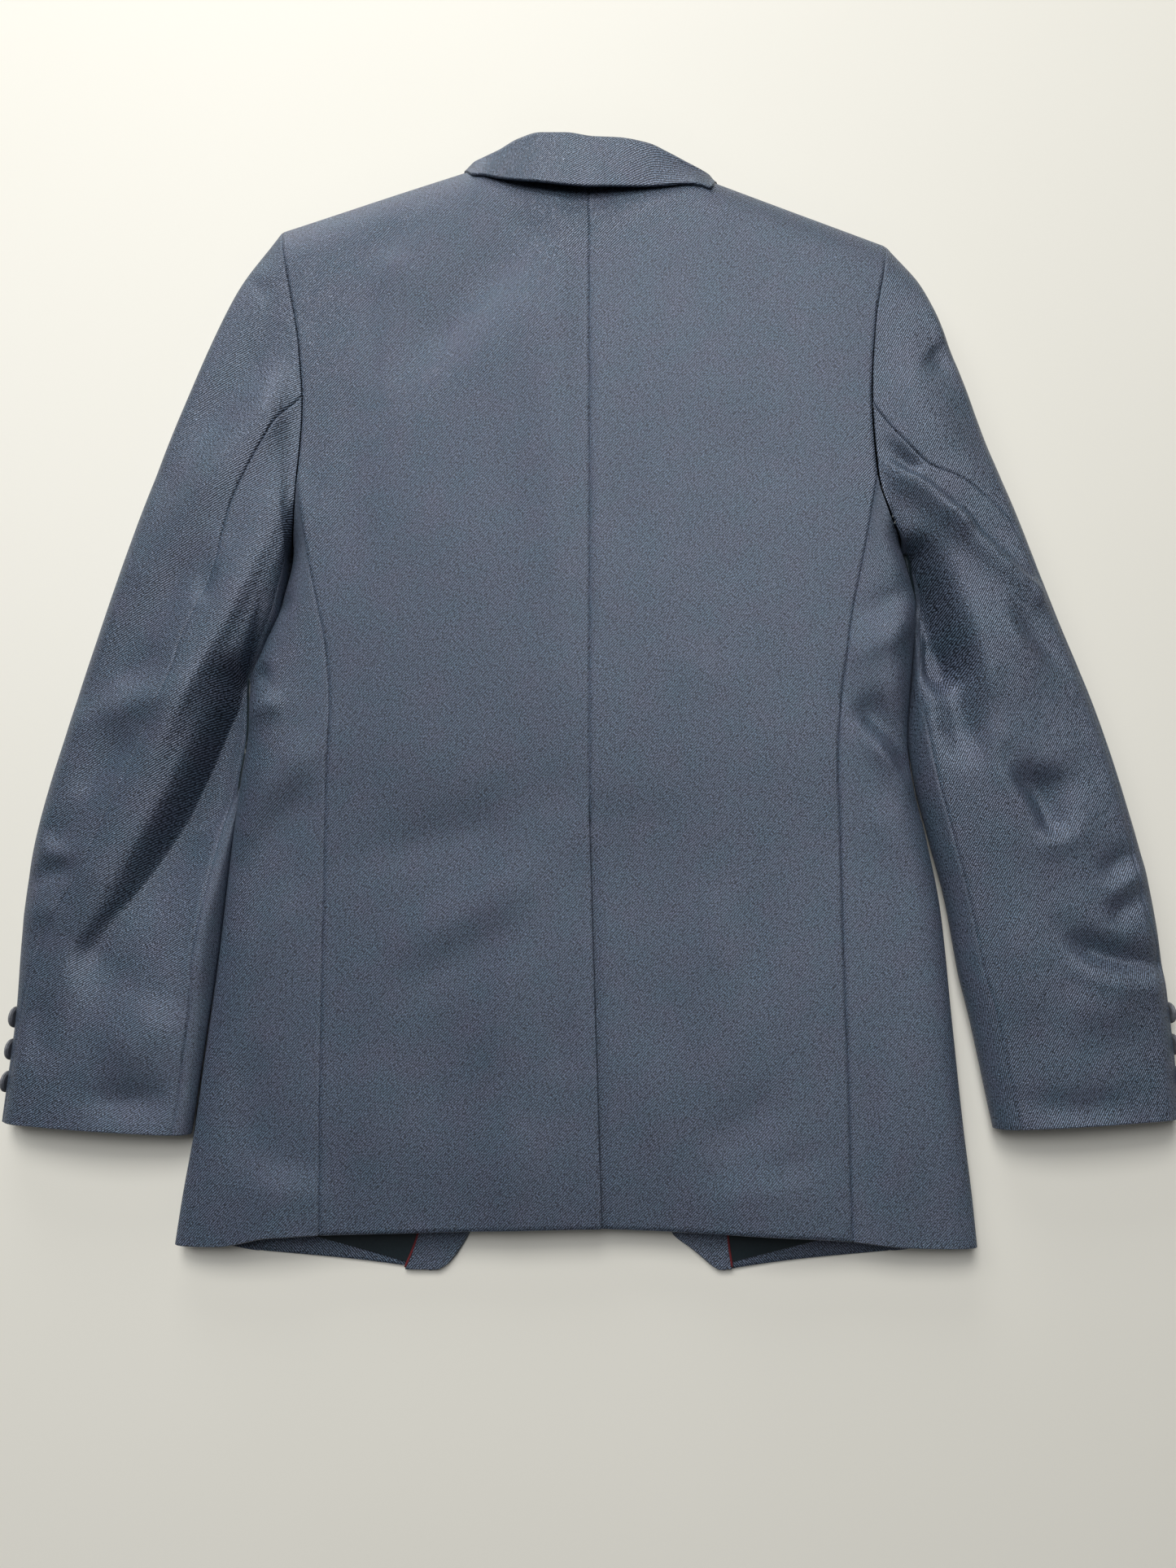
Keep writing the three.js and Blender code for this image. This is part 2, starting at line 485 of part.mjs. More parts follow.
// ---- The sleeves ----
function sleeveRing(side, lines, folds) {
  const column = (key) => curve(side.sleeve, 't', key);
  const [outX, outY, inY] = ['outX', 'outY', 'inY'].map(column);
  const [clear, crown] = ['clear', 'crown'].map(column);
  // w runs round the ring: 0 at the outer fold, over the top to 1 at the inner fold, and back beneath to 2.
  return (w, t) => {
    const s = (1 - Math.cos(Math.PI * w)) / 2;
    const upper = Math.sin(Math.PI * w) >= 0;
    const inner = { x: lines.fold(inY(t)) + clear(t), y: inY(t) };
    const outer = { x: outX(t), y: outY(t) };
    const width = Math.hypot(outer.x - inner.x, outer.y - inner.y);
    // Near the armhole the ring bends to follow it.
    const onRing = lines.armhole(upper ? s / 2 : 1 - s / 2);
    const bend = (1 - ease(0, 0.34, t)) ** 1.5;
    const x = mix(outer.x, inner.x, s) + ARMHOLE_GAP
      + bend * (onRing.x - mix(lines.shoulder.x, lines.underarm.back, s));
    const y = mix(outer.y, inner.y, s) + bend * (onRing.y - mix(lines.shoulder.y, lines.underarm.y, s));
    const distance = Math.min(s, 1 - s) * width;
    const middle = mix(SHOULDER_MID, FOLD_MID, ease(0, 0.2, t + s));
    const share = roll(distance, SLEEVE_ROLL);
    if (!upper) return [lines.sign * x, y, middle * (1 - share)];
    const arch = 0.8 + 0.2 * Math.sin(Math.PI * s);
    const full = Math.max(crown(t) * arch + foldsAt(folds, lines.sign * x, y), LEAST_TOP);
    const plain = middle + (full - middle) * share;
    const atBody = onRing.y > lines.seamTop
      ? backHeight(lines, onRing.x, onRing.y)
      : sideTopHeight(lines, onRing.x, onRing.y);
    return [lines.sign * x, y, mix(atBody, plain, ease(0, 0.1, t))];
  };
}

function sleevePanel(name, side, lines, folds, material, isTop) {
  const ring = sleeveRing(side, lines, folds);
  const elbow = curve(side.sleeve, 't', 'elbow');
  const forearm = curve(side.sleeve, 't', 'forearm');
  const around = (share) => Math.acos(1 - 2 * share) / Math.PI;
  const half = SEAM / 120; // half a seam's gap and a little more, as a share of the width
  return wall(name, material, evenly(isTop ? 16 : 9), evenly(22), CLOTH, -lines.sign, (u, v) => {
    const t = v;
    const w = isTop
      ? mix(2 + around(elbow(t) - half), around(forearm(t) + half), u)
      : mix(around(forearm(t) - half), around(elbow(t) + half), u);
    return ring(w, t);
  });
}

// ---- The collar at the back: the stand runs up from the neck seam, and the fall folds back over it ----
function collarBack(name, material) {
  const [fold, edge, over] = ['fold', 'edge', 'over'].map((key) => curve(COLLAR, 'x', key));
  const first = COLLAR[0].x;
  const last = COLLAR[COLLAR.length - 1].x;
  const turnAt = 0.35; // share of the section given to the stand
  const turnEnd = 0.6; // and to the rolled fold after it
  return wall(name, material, evenly(14), evenly(20), CLOTH, 1, (u, v) => {
    const x = mix(first, last, v);
    const lines = x < 0 ? leftLines : rightLines;
    const under = topEdgeHeight(lines, Math.abs(x)) - CLOTH;
    const seam = lines.shoulderLine(Math.abs(x)) + SEAM;
    const radius = (over(x) - under) / 2;
    const reach = Math.min(radius, (fold(x) - Math.max(edge(x), seam)) * 0.6);
    const turn = fold(x) - reach;
    if (u < turnAt) return [x, mix(seam, turn, u / turnAt), under];
    if (u < turnEnd) {
      const angle = Math.PI * ((u - turnAt) / (turnEnd - turnAt));
      return [x, turn + reach * Math.sin(angle), under + radius * (1 - Math.cos(angle))];
    }
    const share = (u - turnEnd) / (1 - turnEnd);
    const onBack = backHeight(lines, Math.abs(x), edge(x)) + LAYER + SEAM;
    return [x, mix(turn, edge(x), share), mix(over(x), Math.max(over(x), onBack), share)];
  });
}

// ---- Buttons ----
const wasm = await Module();
wasm.setup();

function solid(geometry) {
  const flat = geometry.index ? geometry.toNonIndexed() : geometry;
  const points = flat.getAttribute('position');
  const keys = new Map();
  const vertices = [];
  const triangles = [];
  for (let i = 0; i < points.count; i += 1) {
    const at = [points.getX(i), points.getY(i), points.getZ(i)].map((n) => Math.round(n * 1e4) / 1e4);
    const key = at.map((n) => n + 0).join(' ');
    if (!keys.has(key)) {
      keys.set(key, vertices.length / 3);
      vertices.push(...at);
    }
    triangles.push(keys.get(key));
  }
  const kept = [];
  for (let i = 0; i < triangles.length; i += 3) {
    const [a, b, c] = triangles.slice(i, i + 3);
    if (a !== b && b !== c && c !== a) kept.push(a, b, c);
  }
  return new wasm.Manifold(new wasm.Mesh({
    numProp: 3,
    vertProperties: new Float32Array(vertices),
    triVerts: new Uint32Array(kept),
  }));
}

// A four-hole button with a raised rim, its back on z = 0 and its face up +Z.
function buttonGeometry({ radius, thickness, hole, pitch }) {
  const profile = [
    [0, 0], [radius - 1.2, 0], [radius, thickness * 0.5], [radius - 0.8, thickness],
    [radius - 2.6, thickness * 0.65], [0, thickness * 0.65],
  ].map(([r, z]) => new THREE.Vector2(r, z));
  let made = solid(new THREE.LatheGeometry(profile, 16).rotateX(Math.PI / 2));
  if (made.volume() < 0) made = solid(new THREE.LatheGeometry(profile.reverse(), 16).rotateX(Math.PI / 2));
  for (const [sx, sy] of [[1, 1], [1, -1], [-1, 1], [-1, -1]]) {
    const drill = new THREE.CylinderGeometry(hole, hole, thickness * 4, 5).rotateX(Math.PI / 2);
    drill.translate((sx * pitch) / 2 * 1.4, (sy * pitch) / 2 * 1.4, 0);
    made = made.subtract(solid(drill));
  }
  const mesh = made.getMesh();
  const geometry = new THREE.BufferGeometry();
  geometry.setAttribute('position', new THREE.BufferAttribute(new Float32Array(mesh.vertProperties), 3));
  geometry.setIndex(new THREE.BufferAttribute(new Uint32Array(mesh.triVerts), 1));
  geometry.computeVertexNormals();
  return geometry;
}

function placedButton(name, geometry, material, at, direction) {
  const mesh = new THREE.Mesh(geometry, material);
  mesh.name = name;
  mesh.position.set(...at);
  mesh.quaternion.setFromUnitVectors(new THREE.Vector3(0, 0, 1), new THREE.Vector3(...direction).normalize());
  return mesh;
}

// The three buttons at each cuff's vent stand on the sleeve's outer fold.
function cuffButtons(sideName, side, lines, folds, geometry, material) {
  const ring = sleeveRing(side, lines, folds);
  const shares = [0.898, 0.93, 0.962];
  const aroundRing = 1.985;
  return shares.map((t, i) => {
    const step = 0.004;
    const point = new THREE.Vector3(...ring(aroundRing, t));
    const alongW = new THREE.Vector3(...ring(aroundRing + step, t)).sub(point);
    const alongT = new THREE.Vector3(...ring(aroundRing, t + step)).sub(point);
    const out = alongW.cross(alongT).normalize().multiplyScalar(lines.sign);
    const at = point.addScaledVector(out, SEAM);
    return placedButton(`cuff_button_${sideName}_${i + 1}`, geometry, material, at.toArray(), out.toArray());
  });
}

// ---- The blazer ----
const wool = new THREE.MeshStandardMaterial({ color: 0x6c7482, roughness: 0.85, metalness: 0 });
const satin = new THREE.MeshStandardMaterial({ color: 0x1e2a30, roughness: 0.4, metalness: 0 });
const horn = new THREE.MeshStandardMaterial({ color: 0x3c3b3b, roughness: 0.35, metalness: 0 });

const blazer = new THREE.Group();
const cuffButton = buttonGeometry(BUTTON);
const frontButton = buttonGeometry(FRONT_BUTTON);
for (const [name, side] of Object.entries(SIDES)) {
  const lines = side.sign < 0 ? leftLines : rightLines;
  const folds = SLEEVE_FOLDS[name];
  blazer.add(
    backPanel(`back_${name}`, lines, wool),
    sidePanel(`side_${name}`, lines, wool),
    frontPanel(`front_${name}`, lines, wool),
    lapel(`lapel_${name}`, lines, wool),
    collarEnd(`collar_end_${name}`, lines, wool),
    facingPanel(`facing_${name}`, side, lines, wool),
    liningPanel(`lining_${name}`, side, lines, satin),
    sleevePanel(`top_sleeve_${name}`, side, lines, folds, wool, true),
    sleevePanel(`under_sleeve_${name}`, side, lines, folds, wool, false),
    ...cuffButtons(name, side, lines, folds, cuffButton, horn),
  );
}
blazer.add(collarBack('collar', wool));
FRONT_BUTTON_LEVELS.forEach((level, i) => blazer.add(
  placedButton(`front_button_${i + 1}`, frontButton, horn, [0, level, FRONT_BUTTON.thickness], [0, 0, -1]),
));

export default blazer;
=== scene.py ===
import math

import bpy
import numpy as np
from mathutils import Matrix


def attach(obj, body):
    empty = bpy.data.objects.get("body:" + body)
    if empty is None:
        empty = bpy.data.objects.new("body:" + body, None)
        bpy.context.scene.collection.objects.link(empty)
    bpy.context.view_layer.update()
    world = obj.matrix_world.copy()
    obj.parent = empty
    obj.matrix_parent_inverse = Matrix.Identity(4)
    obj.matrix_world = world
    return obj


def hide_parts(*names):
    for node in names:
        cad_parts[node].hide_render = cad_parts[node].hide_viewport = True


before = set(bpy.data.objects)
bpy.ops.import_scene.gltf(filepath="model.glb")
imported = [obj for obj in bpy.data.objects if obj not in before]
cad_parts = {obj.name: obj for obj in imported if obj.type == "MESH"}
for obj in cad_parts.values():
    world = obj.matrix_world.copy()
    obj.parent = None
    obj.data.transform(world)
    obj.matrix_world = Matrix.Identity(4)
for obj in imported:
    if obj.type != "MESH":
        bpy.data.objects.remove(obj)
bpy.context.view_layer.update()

# A men's single-breasted blazer laid face down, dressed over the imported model. Tables and shapes are in
# millimetres, in the frame's axes: +X to the wearer's right, +Y towards the collar, +Z up. Meshes are in
# metres.
MM = 0.001

# ---- Driving sizes ----
CLOTH = 2.0  # the wool with its interlining
FACING = 1.5
LINING = 1.0
RISE = 2.4  # from one layer of cloth to the next
INNER_RISE = 2.8  # the same inside the body, where layers lie more loosely
FOLD_MID = 11  # height of the outermost line of a side fold
SHOULDER_MID = 13  # height of the shoulder seam
NECK_HEIGHT, NECK_CENTRE = 25, 477
SIDE_ROLL, UNDER_ROLL, SHOULDER_ROLL, SLEEVE_ROLL = 24, 18, 36, 15
LEAST_TOP = 5.5  # lowest height of an upper layer, clear of the layer under it
ROLL_X, ROLL_Y = -18, 85  # where the lapels break
VENT_TOP, VENT_UNDERLAP, VENT_SLANT, VENT_RAMP = -8, 38, 9, 34
HEM_LEVEL, FRONT_LEVEL = -304, -320  # lowest levels of the back and of the fronts
SEAM_GAP = 0.3  # from a panel's edge to the line of its seam
RIM_REACH, RIM_THREADS = 0.3, 0.8  # how far a rounded rim and its weave run past the edge, in thicknesses
ON_FLOOR = 0.02  # a skin lower than this faces straight down
FRONT_BUTTONS = (-54, 54)  # levels
INSIDE_TOP = -200  # how far up inside the hem the facing and lining are made
HEM_TURNED = 38  # wool turned up inside the hem
CUFF_TURNED = 34
SLEEVE_LENGTH, HEAD_LENGTH = 700, 680  # nominal, for the seams and for the seam at its head
SLEEVE_LEAN = 14  # degrees between its threads and the body's
WALL, UNDER_WALL = 18, 8  # how much further cloth runs over a sleeve's rolled edge than its plan shows
PIPING = 0.9  # radius of the piping between lining and facing
FRONT_BUTTON = {"radius": 10, "thickness": 3, "hole": 1, "pitch": 3.1, "thread": 0.45}
CUFF_BUTTON = {"radius": 7.5, "thickness": 2.8, "hole": 0.9, "pitch": 2.7, "thread": 0.4}
CUFF_BUTTONS_AT = (0.898, 0.93, 0.962)  # shares of the sleeve's length


def table(columns, *rows):
    """A table with named columns."""
    return dict(zip(columns.split(), np.array(rows, float).T))


# ---- Sections of each side, as distances out from the centre line ----
SIDES = {
    "left": {
        "sign": -1,
        "shoulder": (230, 442),
        "neck": (86, 491),
        "fold": table(
            "y x", (-304, 292), (-266, 287), (-221, 280), (-170, 274), (-101, 266), (-25, 259), (28, 253),
            (69, 248), (99, 248), (122, 240), (150, 229), (196, 218), (245, 234),
        ),
        "seam": table(
            "y x", (-304, 188), (-169, 190), (3, 189), (85, 186), (120, 189), (178, 201), (243, 211.5),
        ),
        "armhole": table(
            "y back front", (200, 218, 218), (218, 214, 211), (243, 211.5, 205), (297, 208, 198),
            (340, 211, 200), (392, 220, 211), (442, 230, 230),
        ),
        "edge": table(
            "y x", (-320, 113), (-319, 107), (-316.5, 102), (-311, 96.5), (-305, 92), (-295, 86),
            (-250, 62), (-200, 38), (-150, 15), (-100, -8), (-54, -18),
        ),
        "facing": table("y x", (-320, 131), (-297, 122), (-250, 112), (-190, 103)),
        "sleeve": table(
            "t out_x out_y in_y clear crown elbow forearm",
            (0, 230, 442, 200, 0.5, 38, 0.56, 0.97),
            (0.08, 261, 396, 188, 6, 41, 0.54, 0.97),
            (0.22, 299, 308, 168, 6, 42, 0.55, 0.97),
            (0.35, 330, 223, 140, 4, 41, 0.59, 0.97),
            (0.46, 354, 148, 104, 2.5, 39, 0.59, 0.97),
            (0.58, 376, 75, 50, 1.5, 36, 0.49, 0.965),
            (0.74, 402, -31, -50, 1.5, 32, 0.3, 0.92),
            (0.82, 407, -86, -100, 1.5, 28, 0.13, 0.89),
            (0.89, 409, -136, -150, 2, 26, 0.05, 0.92),
            (1, 416, -214, -223, 2.5, 26, 0.02, 0.92),
        ),
    },
    "right": {
        "sign": 1,
        "shoulder": (222, 431),
        "neck": (90, 482),
        "fold": table(
            "y x", (-304, 273), (-266, 270), (-216, 265), (-142, 259), (-67, 253), (-15, 244), (26, 235),
            (57, 232), (120, 237), (155, 240), (188, 233), (204, 229), (250, 242),
        ),
        "seam": table(
            "y x", (-304, 184), (-197, 183), (-112, 181), (-26, 180), (44, 178), (85, 181), (134, 187),
            (200, 200), (248, 208.5),
        ),
        "armhole": table(
            "y back front", (204, 228, 228), (221, 217, 219), (248, 208.5, 208), (303, 205, 195),
            (361, 209, 200), (400, 216, 211), (431, 222, 222),
        ),
        "edge": table(
            "y x", (-320, 96), (-319, 91), (-316.5, 87), (-311, 80.5), (-305, 73), (-295, 60),
            (-250, 42), (-200, 26), (-150, 8), (-100, -9), (-54, -18),
        ),
        "facing": table("y x", (-320, 101), (-297, 98), (-250, 95), (-190, 93)),
        "sleeve": table(
            "t out_x out_y in_y clear crown elbow forearm",
            (0, 222, 431, 204, 0.5, 38, 0.57, 0.93),
            (0.06, 248, 398, 196, 6, 41, 0.58, 0.93),
            (0.14, 269, 347, 186, 10, 42, 0.55, 0.93),
            (0.26, 296, 271, 160, 13, 41, 0.3, 0.92),
            (0.34, 315, 222, 134, 14, 40, 0.12, 0.92),
            (0.46, 342, 148, 95, 7, 38, 0.05, 0.96),
            (0.57, 369, 76, 52, 3, 36, 0.04, 0.92),
            (0.68, 390, 4, -8, 3, 34, 0.05, 0.91),
            (0.76, 402, -45, -52, 5, 31, 0.08, 0.91),
            (0.84, 410, -101, -105, 8, 29, 0.03, 0.9),
            (0.9, 414, -140, -142, 13, 28, 0.03, 0.885),
            (1, 419, -211, -219, 21, 27, 0.02, 0.88),
        ),
    },
}
HEIGHTS = table(
    "y crown side", (-304, 17, 18), (-240, 20, 19), (-110, 22, 20.5), (-40, 23.5, 22), (0, 26.5, 24.5),
    (50, 31.5, 28.5), (100, 34.8, 31.5), (160, 37.2, 34), (240, 39, 36.5), (330, 40.5, 38), (490, 39.5, 36),
)
HEM = table(
    "x y", (-292, -299), (-262, -299), (-222, -292), (-139, -290), (6, -287), (122, -291),
    (179, -295), (225, -300), (273, -301),
)
WRAP = table("y x", (-304, 60), (0, 55), (100, 42), (200, 30))
FRONT_HEM = table("a y", (0, -306), (0.5, -312), (1, -320))
TURNED = table("y x", (85, 2), (150, 32), (250, 64), (330, 83), (374, 92), (400, 60), (486, 50))
COLLAR = table(
    "x fold edge over lift", (-94, 490.5, 489.5, 19, 0), (-91, 491.5, 484, 22, 0), (-87, 493, 477.5, 26, 0),
    (-79, 495, 476, 31, 0.5), (-68, 499, 472.5, 34, 1.5), (-53, 507, 468.5, 36.5, 4.5),
    (-36, 511.5, 465.5, 38, 6.5), (-18, 511.5, 463, 38, 7), (2, 508.5, 462.5, 38, 6.5),
    (22, 507.5, 464, 38, 4.5), (44, 503.5, 465.5, 37, 2),
    (60, 496.5, 467.5, 35, 1), (74, 490, 469, 32, 0.5), (84, 486, 468, 29, 0), (90, 484, 466, 25, 0),
    (94, 482.8, 478, 20, 0), (96, 482.3, 481.5, 18, 0),
)

# ---- Folds: soft ridges (height above 0) and troughs along a curve from a through m to b ----
# before and after are the widths on the right and left of its way, and start and end the shares of its
# height at its two ends. Most points were picked in the photo and turned into millimetres, others were
# set one by one.
def folds(*rows):
    columns = "ax ay mx my bx by before after height start end".split()
    return [dict(zip(columns, map(float, row))) for row in rows]


BODY_FOLDS = folds(
    # beside the centre seam
    (-24, 470, -23, 290, -20, 60, 26, 13, 3.0, 0.5, 0.1),
    (7, 465, 7.5, 290, 8, 80, 6, 11, 1.1, 0.4, 0.1),
    (26, 325, 24, 240, 23, 160, 9, 12, -1.3, 0, 0),
    # left back, shoulder to waist
    (-50, 428, -92, 376, -160, 300, 24, 22, -6.4, 0.6, 0.2),
    (-20, 400, -50, 352, -95, 300, 24, 24, 1.8, 0.2, 0),
    (-133, 443, -142, 424, -150, 405, 12, 16, -1.8, 0.6, 0),
    (-118, 440, -134, 410, -158, 372, 16, 16, 2.2, 0.8, 0),
    (-162, 399, -158, 344, -160, 283, 5, 7, -0.7, 0, 0),
    (-148, 380, -146, 330, -150, 280, 6, 6, 0.5, 0, 0),
    (-174, 341, -173, 252, -172, 166, 16, 18, -1.6, 0, 0),
    (-196, 290, -200, 250, -198, 214, 10, 12, -1.4, 0.3, 0),
    # left back, waist to hem
    (-26, 9, -98, -11, -172, -34, 18, 16, -2.3, 0.2, 0.3),
    (-14, -20, -86, -66, -158, -106, 17, 19, 2.6, 0.3, 0.1),
    (-30, -60, -96, -100, -150, -140, 16, 16, -1.4, 0.1, 0),
    (-43, -83, -62, -135, -77, -190, 15, 13, 1.7, 0, 0),
    (-92, -112, -106, -175, -118, -240, 17, 15, -1.7, 0, 0),
    (-12, -130, -20, -160, -15, -188, 9, 9, -1.2, 0, 0),
    (-140, -150, -152, -205, -158, -262, 16, 16, 1.2, 0, 0.3),
    (-40, -205, -52, -240, -56, -278, 14, 14, 1.2, 0, 0.6),
    # right back
    (92, 302, 123, 266, 158, 228, 15, 15, -1.6, 0, 0),
    (70, 330, 98, 296, 130, 262, 14, 16, 1.1, 0, 0),
    (97, 188, 100, 179, 96, 168, 14, 14, -1.1, 0.4, 0.4),
    (149, 418, 151, 381, 145, 344, 6, 8, -0.8, 0.2, 0),
    (110, 428, 128, 400, 138, 366, 15, 15, -1.2, 0.4, 0),
    (44, 130, 84, 104, 130, 92, 16, 16, 1.1, 0, 0),
    (120, -32, 119, -95, 116, -157, 15, 13, -1.7, 0, 0),
    (93, -40, 92, -83, 89, -122, 12, 12, 1.3, 0, 0),
    (136, -186, 109, -214, 83, -242, 16, 14, -1.9, 0, 0),
    (152, -205, 128, -236, 104, -268, 14, 16, 1.5, 0, 0.2),
    (40, -150, 46, -200, 44, -256, 15, 15, 1.2, 0, 0),
    # right side panel and its hollow at the waist
    (197, 149, 215, 156, 238, 170, 8, 10, -2.6, 0.4, 0.8),
    (196, 120, 216, 130, 240, 146, 10, 11, 3.6, 0.5, 0.9),
    (186, 88, 209, 68, 228, 42, 9, 15, -7.5, 0.2, 1),
    (196, 62, 214, 44, 230, 22, 9, 8, 3.6, 0.3, 0.8),
    (204, 20, 214, -10, 232, -36, 13, 13, 1.6, 0, 0.5),
    (219, -130, 218, -214, 214, -290, 14, 15, 1.7, 0, 0.5),
    (196, -170, 194, -225, 196, -280, 9, 9, -1.2, 0, 0.3),
    # left side panel
    (-231, 160, -224, 155, -214, 148, 7, 9, -4.5, 1, 0),
    (-248, 98, -239, 103, -228, 110, 7, 6, -6.5, 1, 0),
    (-216, 84, -230, 80, -244, 77, 8, 8, 3.4, 0.2, 1),
    (-190, 62, -216, 33, -242, -4, 15, 15, 3.0, 0.2, 0.6),
    (-195, 27, -221, -2, -248, -34, 15, 15, -2.6, 0.2, 0.6),
    (-204, -40, -228, -80, -252, -120, 16, 18, 1.8, 0, 0.4),
    (-236, -150, -240, -200, -240, -250, 16, 18, -2.0, 0, 0),
    (-222, -300, -220, -270, -214, -236, 30, 26, 4.2, 1, 0),
    (128, -300, 128, -272, 124, -240, 34, 34, 3.2, 1, 0),
)
SLEEVE_FOLDS = {
    "left": folds(
        # the big fold that laps the lower sleeve, and the hollow under it
        (-251, 96, -280, 18, -348, -94, 12, 30, -26, 1, 0.42),
        (-256, 66, -268, 30, -282, -12, 9, 15, -9, 1, 0),
        (-226, 216, -272, 118, -352, -36, 17, 11, 6.5, 0.4, 0.2),
        (-300, -56, -330, -92, -362, -112, 12, 12, 1.6, 0, 0.4),
        # drag lines from the armhole
        (-223, 364, -262, 310, -308, 250, 15, 20, -5.6, 0.7, 0.4),
        (-214, 311, -255, 262, -320, 180, 16, 17, 6.2, 1, 0.3),
        (-226, 389, -235, 387, -247, 382, 8, 6, -3.4, 0.9, 0),
        (-228, 404, -240, 402, -252, 396, 7, 7, 1.6, 0.6, 0),
        (-266, 203, -305, 154, -360, 82, 14, 18, -4.4, 0.1, 0.5),
        (-272, 182, -275, 167, -280, 150, 6, 8, -2.6, 0.3, 0),
        (-290, 92, -323, 82, -362, 70, 13, 12, 3.8, 0.3, 0.6),
        (-320, 62, -344, 40, -384, -8, 11, 12, -4.0, 0.3, 0.7),
        (-300, 128, -322, 108, -340, 96, 10, 10, -1.6, 0, 0),
        (-356, 30, -372, 10, -388, -4, 9, 9, 2.6, 0.2, 0.8),
        (-390, -16, -380, -24, -362, -26, 7, 7, 2.4, 0.8, 0),
        (-396, -44, -378, -38, -356, -34, 8, 8, -3.0, 0.8, 0),
        (-402, -70, -386, -66, -370, -64, 8, 9, 1.8, 0.8, 0),
        # the cuff
        (-299, -122, -316, -152, -348, -176, 20, 22, 4.6, 0.2, 0.2),
        (-290, -190, -322, -199, -360, -192, 12, 12, -3.4, 0.2, 0.2),
        (-384, -120, -388, -150, -384, -180, 12, 12, -1.8, 0, 0),
        (-268, -40, -276, -90, -282, -140, 7, 7, 1.6, 0, 0),
        # underneath
        (-262, 205, -290, 120, -300, 40, 14, 14, 2.0, 0, 0),
    ),
    "right": folds(
        # the sharp drag line from the armhole, and a second one below it
        (212, 256, 242, 236, 268, 213, 12, 4.5, 6.6, 0.5, 0.8),
        (262, 218, 290, 190, 322, 162, 12, 4.5, 6.4, 0.6, 0.7),
        (214, 268, 228, 256, 240, 247, 6, 7, -4.6, 0.8, 0),
        (250, 240, 280, 210, 316, 178, 6, 12, -2.6, 0.2, 0.2),
        (290, 158, 313, 116, 344, 91, 12, 6, 2.8, 0, 0.5),
        (300, 164, 322, 128, 348, 104, 7, 12, -2.2, 0, 0.3),
        (247, 342, 255, 335, 266, 324, 11, 14, -4.4, 0.2, 0.3),
        (236, 372, 258, 366, 276, 352, 12, 12, 1.8, 0.4, 0.3),
        (262, 318, 284, 286, 300, 252, 14, 16, -3.0, 0.2, 0.3),
        (222, 320, 244, 290, 262, 258, 14, 14, 1.8, 0.5, 0),
        # the pocket beside the body, and the hollow below it
        (234, 186, 246, 150, 255, 108, 12, 12, -28, 0.9, 1),
        (256, 110, 266, 74, 273, 30, 15, 12, -9, 1, 0),
        (262, 176, 280, 120, 288, 66, 9, 13, 4.0, 0.2, 0),
        (280, 82, 291, 46, 310, 8, 11, 11, 2.2, 0, 0.2),
        # dents round the elbow
        (297, 40, 316, 18, 328, -3, 7, 12, -8.5, 0.3, 0.8),
        (353, 34, 338, 22, 328, -2, 12, 14, -3.0, 0.3, 0.8),
        (310, 22, 326, 24, 340, 32, 12, 10, -3.0, 0, 0),
        (312, -16, 334, -14, 356, 2, 10, 12, 2.4, 0.1, 0),
        (390, -25, 375, -33, 360, -44, 10, 9, -3.0, 0.7, 0),
        (394, -38, 376, -48, 362, -58, 8, 8, 2.4, 0.6, 0),
        (392, -56, 378, -65, 364, -76, 9, 8, -2.6, 0.7, 0),
        (332, -80, 364, -98, 406, -104, 7, 11, -8, 0.2, 0.8),
        (330, -96, 362, -114, 400, -118, 9, 10, 2.6, 0.1, 0.6),
        # the cuff
        (329, -122, 360, -132, 394, -124, 18, 18, 3.4, 0.2, 0.3),
        (294, -196, 339, -203, 388, -196, 11, 11, -2.4, 0.2, 0.2),
        (300, -60, 306, -110, 310, -160, 16, 16, 1.8, 0, 0),
        # underneath
        (270, 200, 300, 120, 312, 40, 14, 14, 2.0, 0, 0),
    ),
}
# How far the inner fold of a sleeve is moved towards the body, and how much higher it lies there.
LAP = {
    "left": table("t over lift", (0, 0, 0), (0.1, 5, 8), (0.3, 8, 10), (0.4, 5, 5), (0.46, 2, 0), (1, 1, 0)),
    "right": table("t over lift", (0, 0, 0), (0.06, 6, 8), (0.14, 9.5, 6), (0.26, 12.8, -3), (0.34, 13.8, -6),
                   (0.46, 6.6, -4), (0.6, 2, 0), (0.8, 1, 0), (1, 0, 0)),
}


# ---- Curves and shapes ----
def mix(a, b, share):
    return a + (b - a) * share


def ease(start, end, value):
    share = np.clip((value - start) / (end - start), 0, 1)
    return share * share * (3 - 2 * share)


def curve(rows, by, key):
    """A smooth curve through one column of a table, which never overshoots its rows."""
    at, value = rows[by], rows[key]
    rise = np.diff(value) / np.diff(at)
    slope = np.concatenate([rise[:1], np.zeros(len(rise) - 1), rise[-1:]])
    same = rise[:-1] * rise[1:] > 0
    before, after = np.where(same, rise[:-1], 1), np.where(same, rise[1:], 1)
    slope[1:-1] = np.where(same, 2 / (1 / before + 1 / after), 0)

    def value_at(where):
        x = np.clip(where, at[0], at[-1])
        i = np.clip(np.searchsorted(at, x, side="left") - 1, 0, len(rise) - 1)
        step = at[i + 1] - at[i]
        s = (x - at[i]) / step
        bend = s * (1 - s) * step * (slope[i] * (1 - s) - slope[i + 1] * s)
        return mix(value[i], value[i + 1], s * s * (3 - 2 * s)) + bend

    return value_at


def roll(distance, width):
    """The share of full height reached at a distance in from a rolled edge: a quarter ellipse."""
    left = 1 - np.clip(distance / width, 0, 1)
    return np.sqrt(1 - left * left)


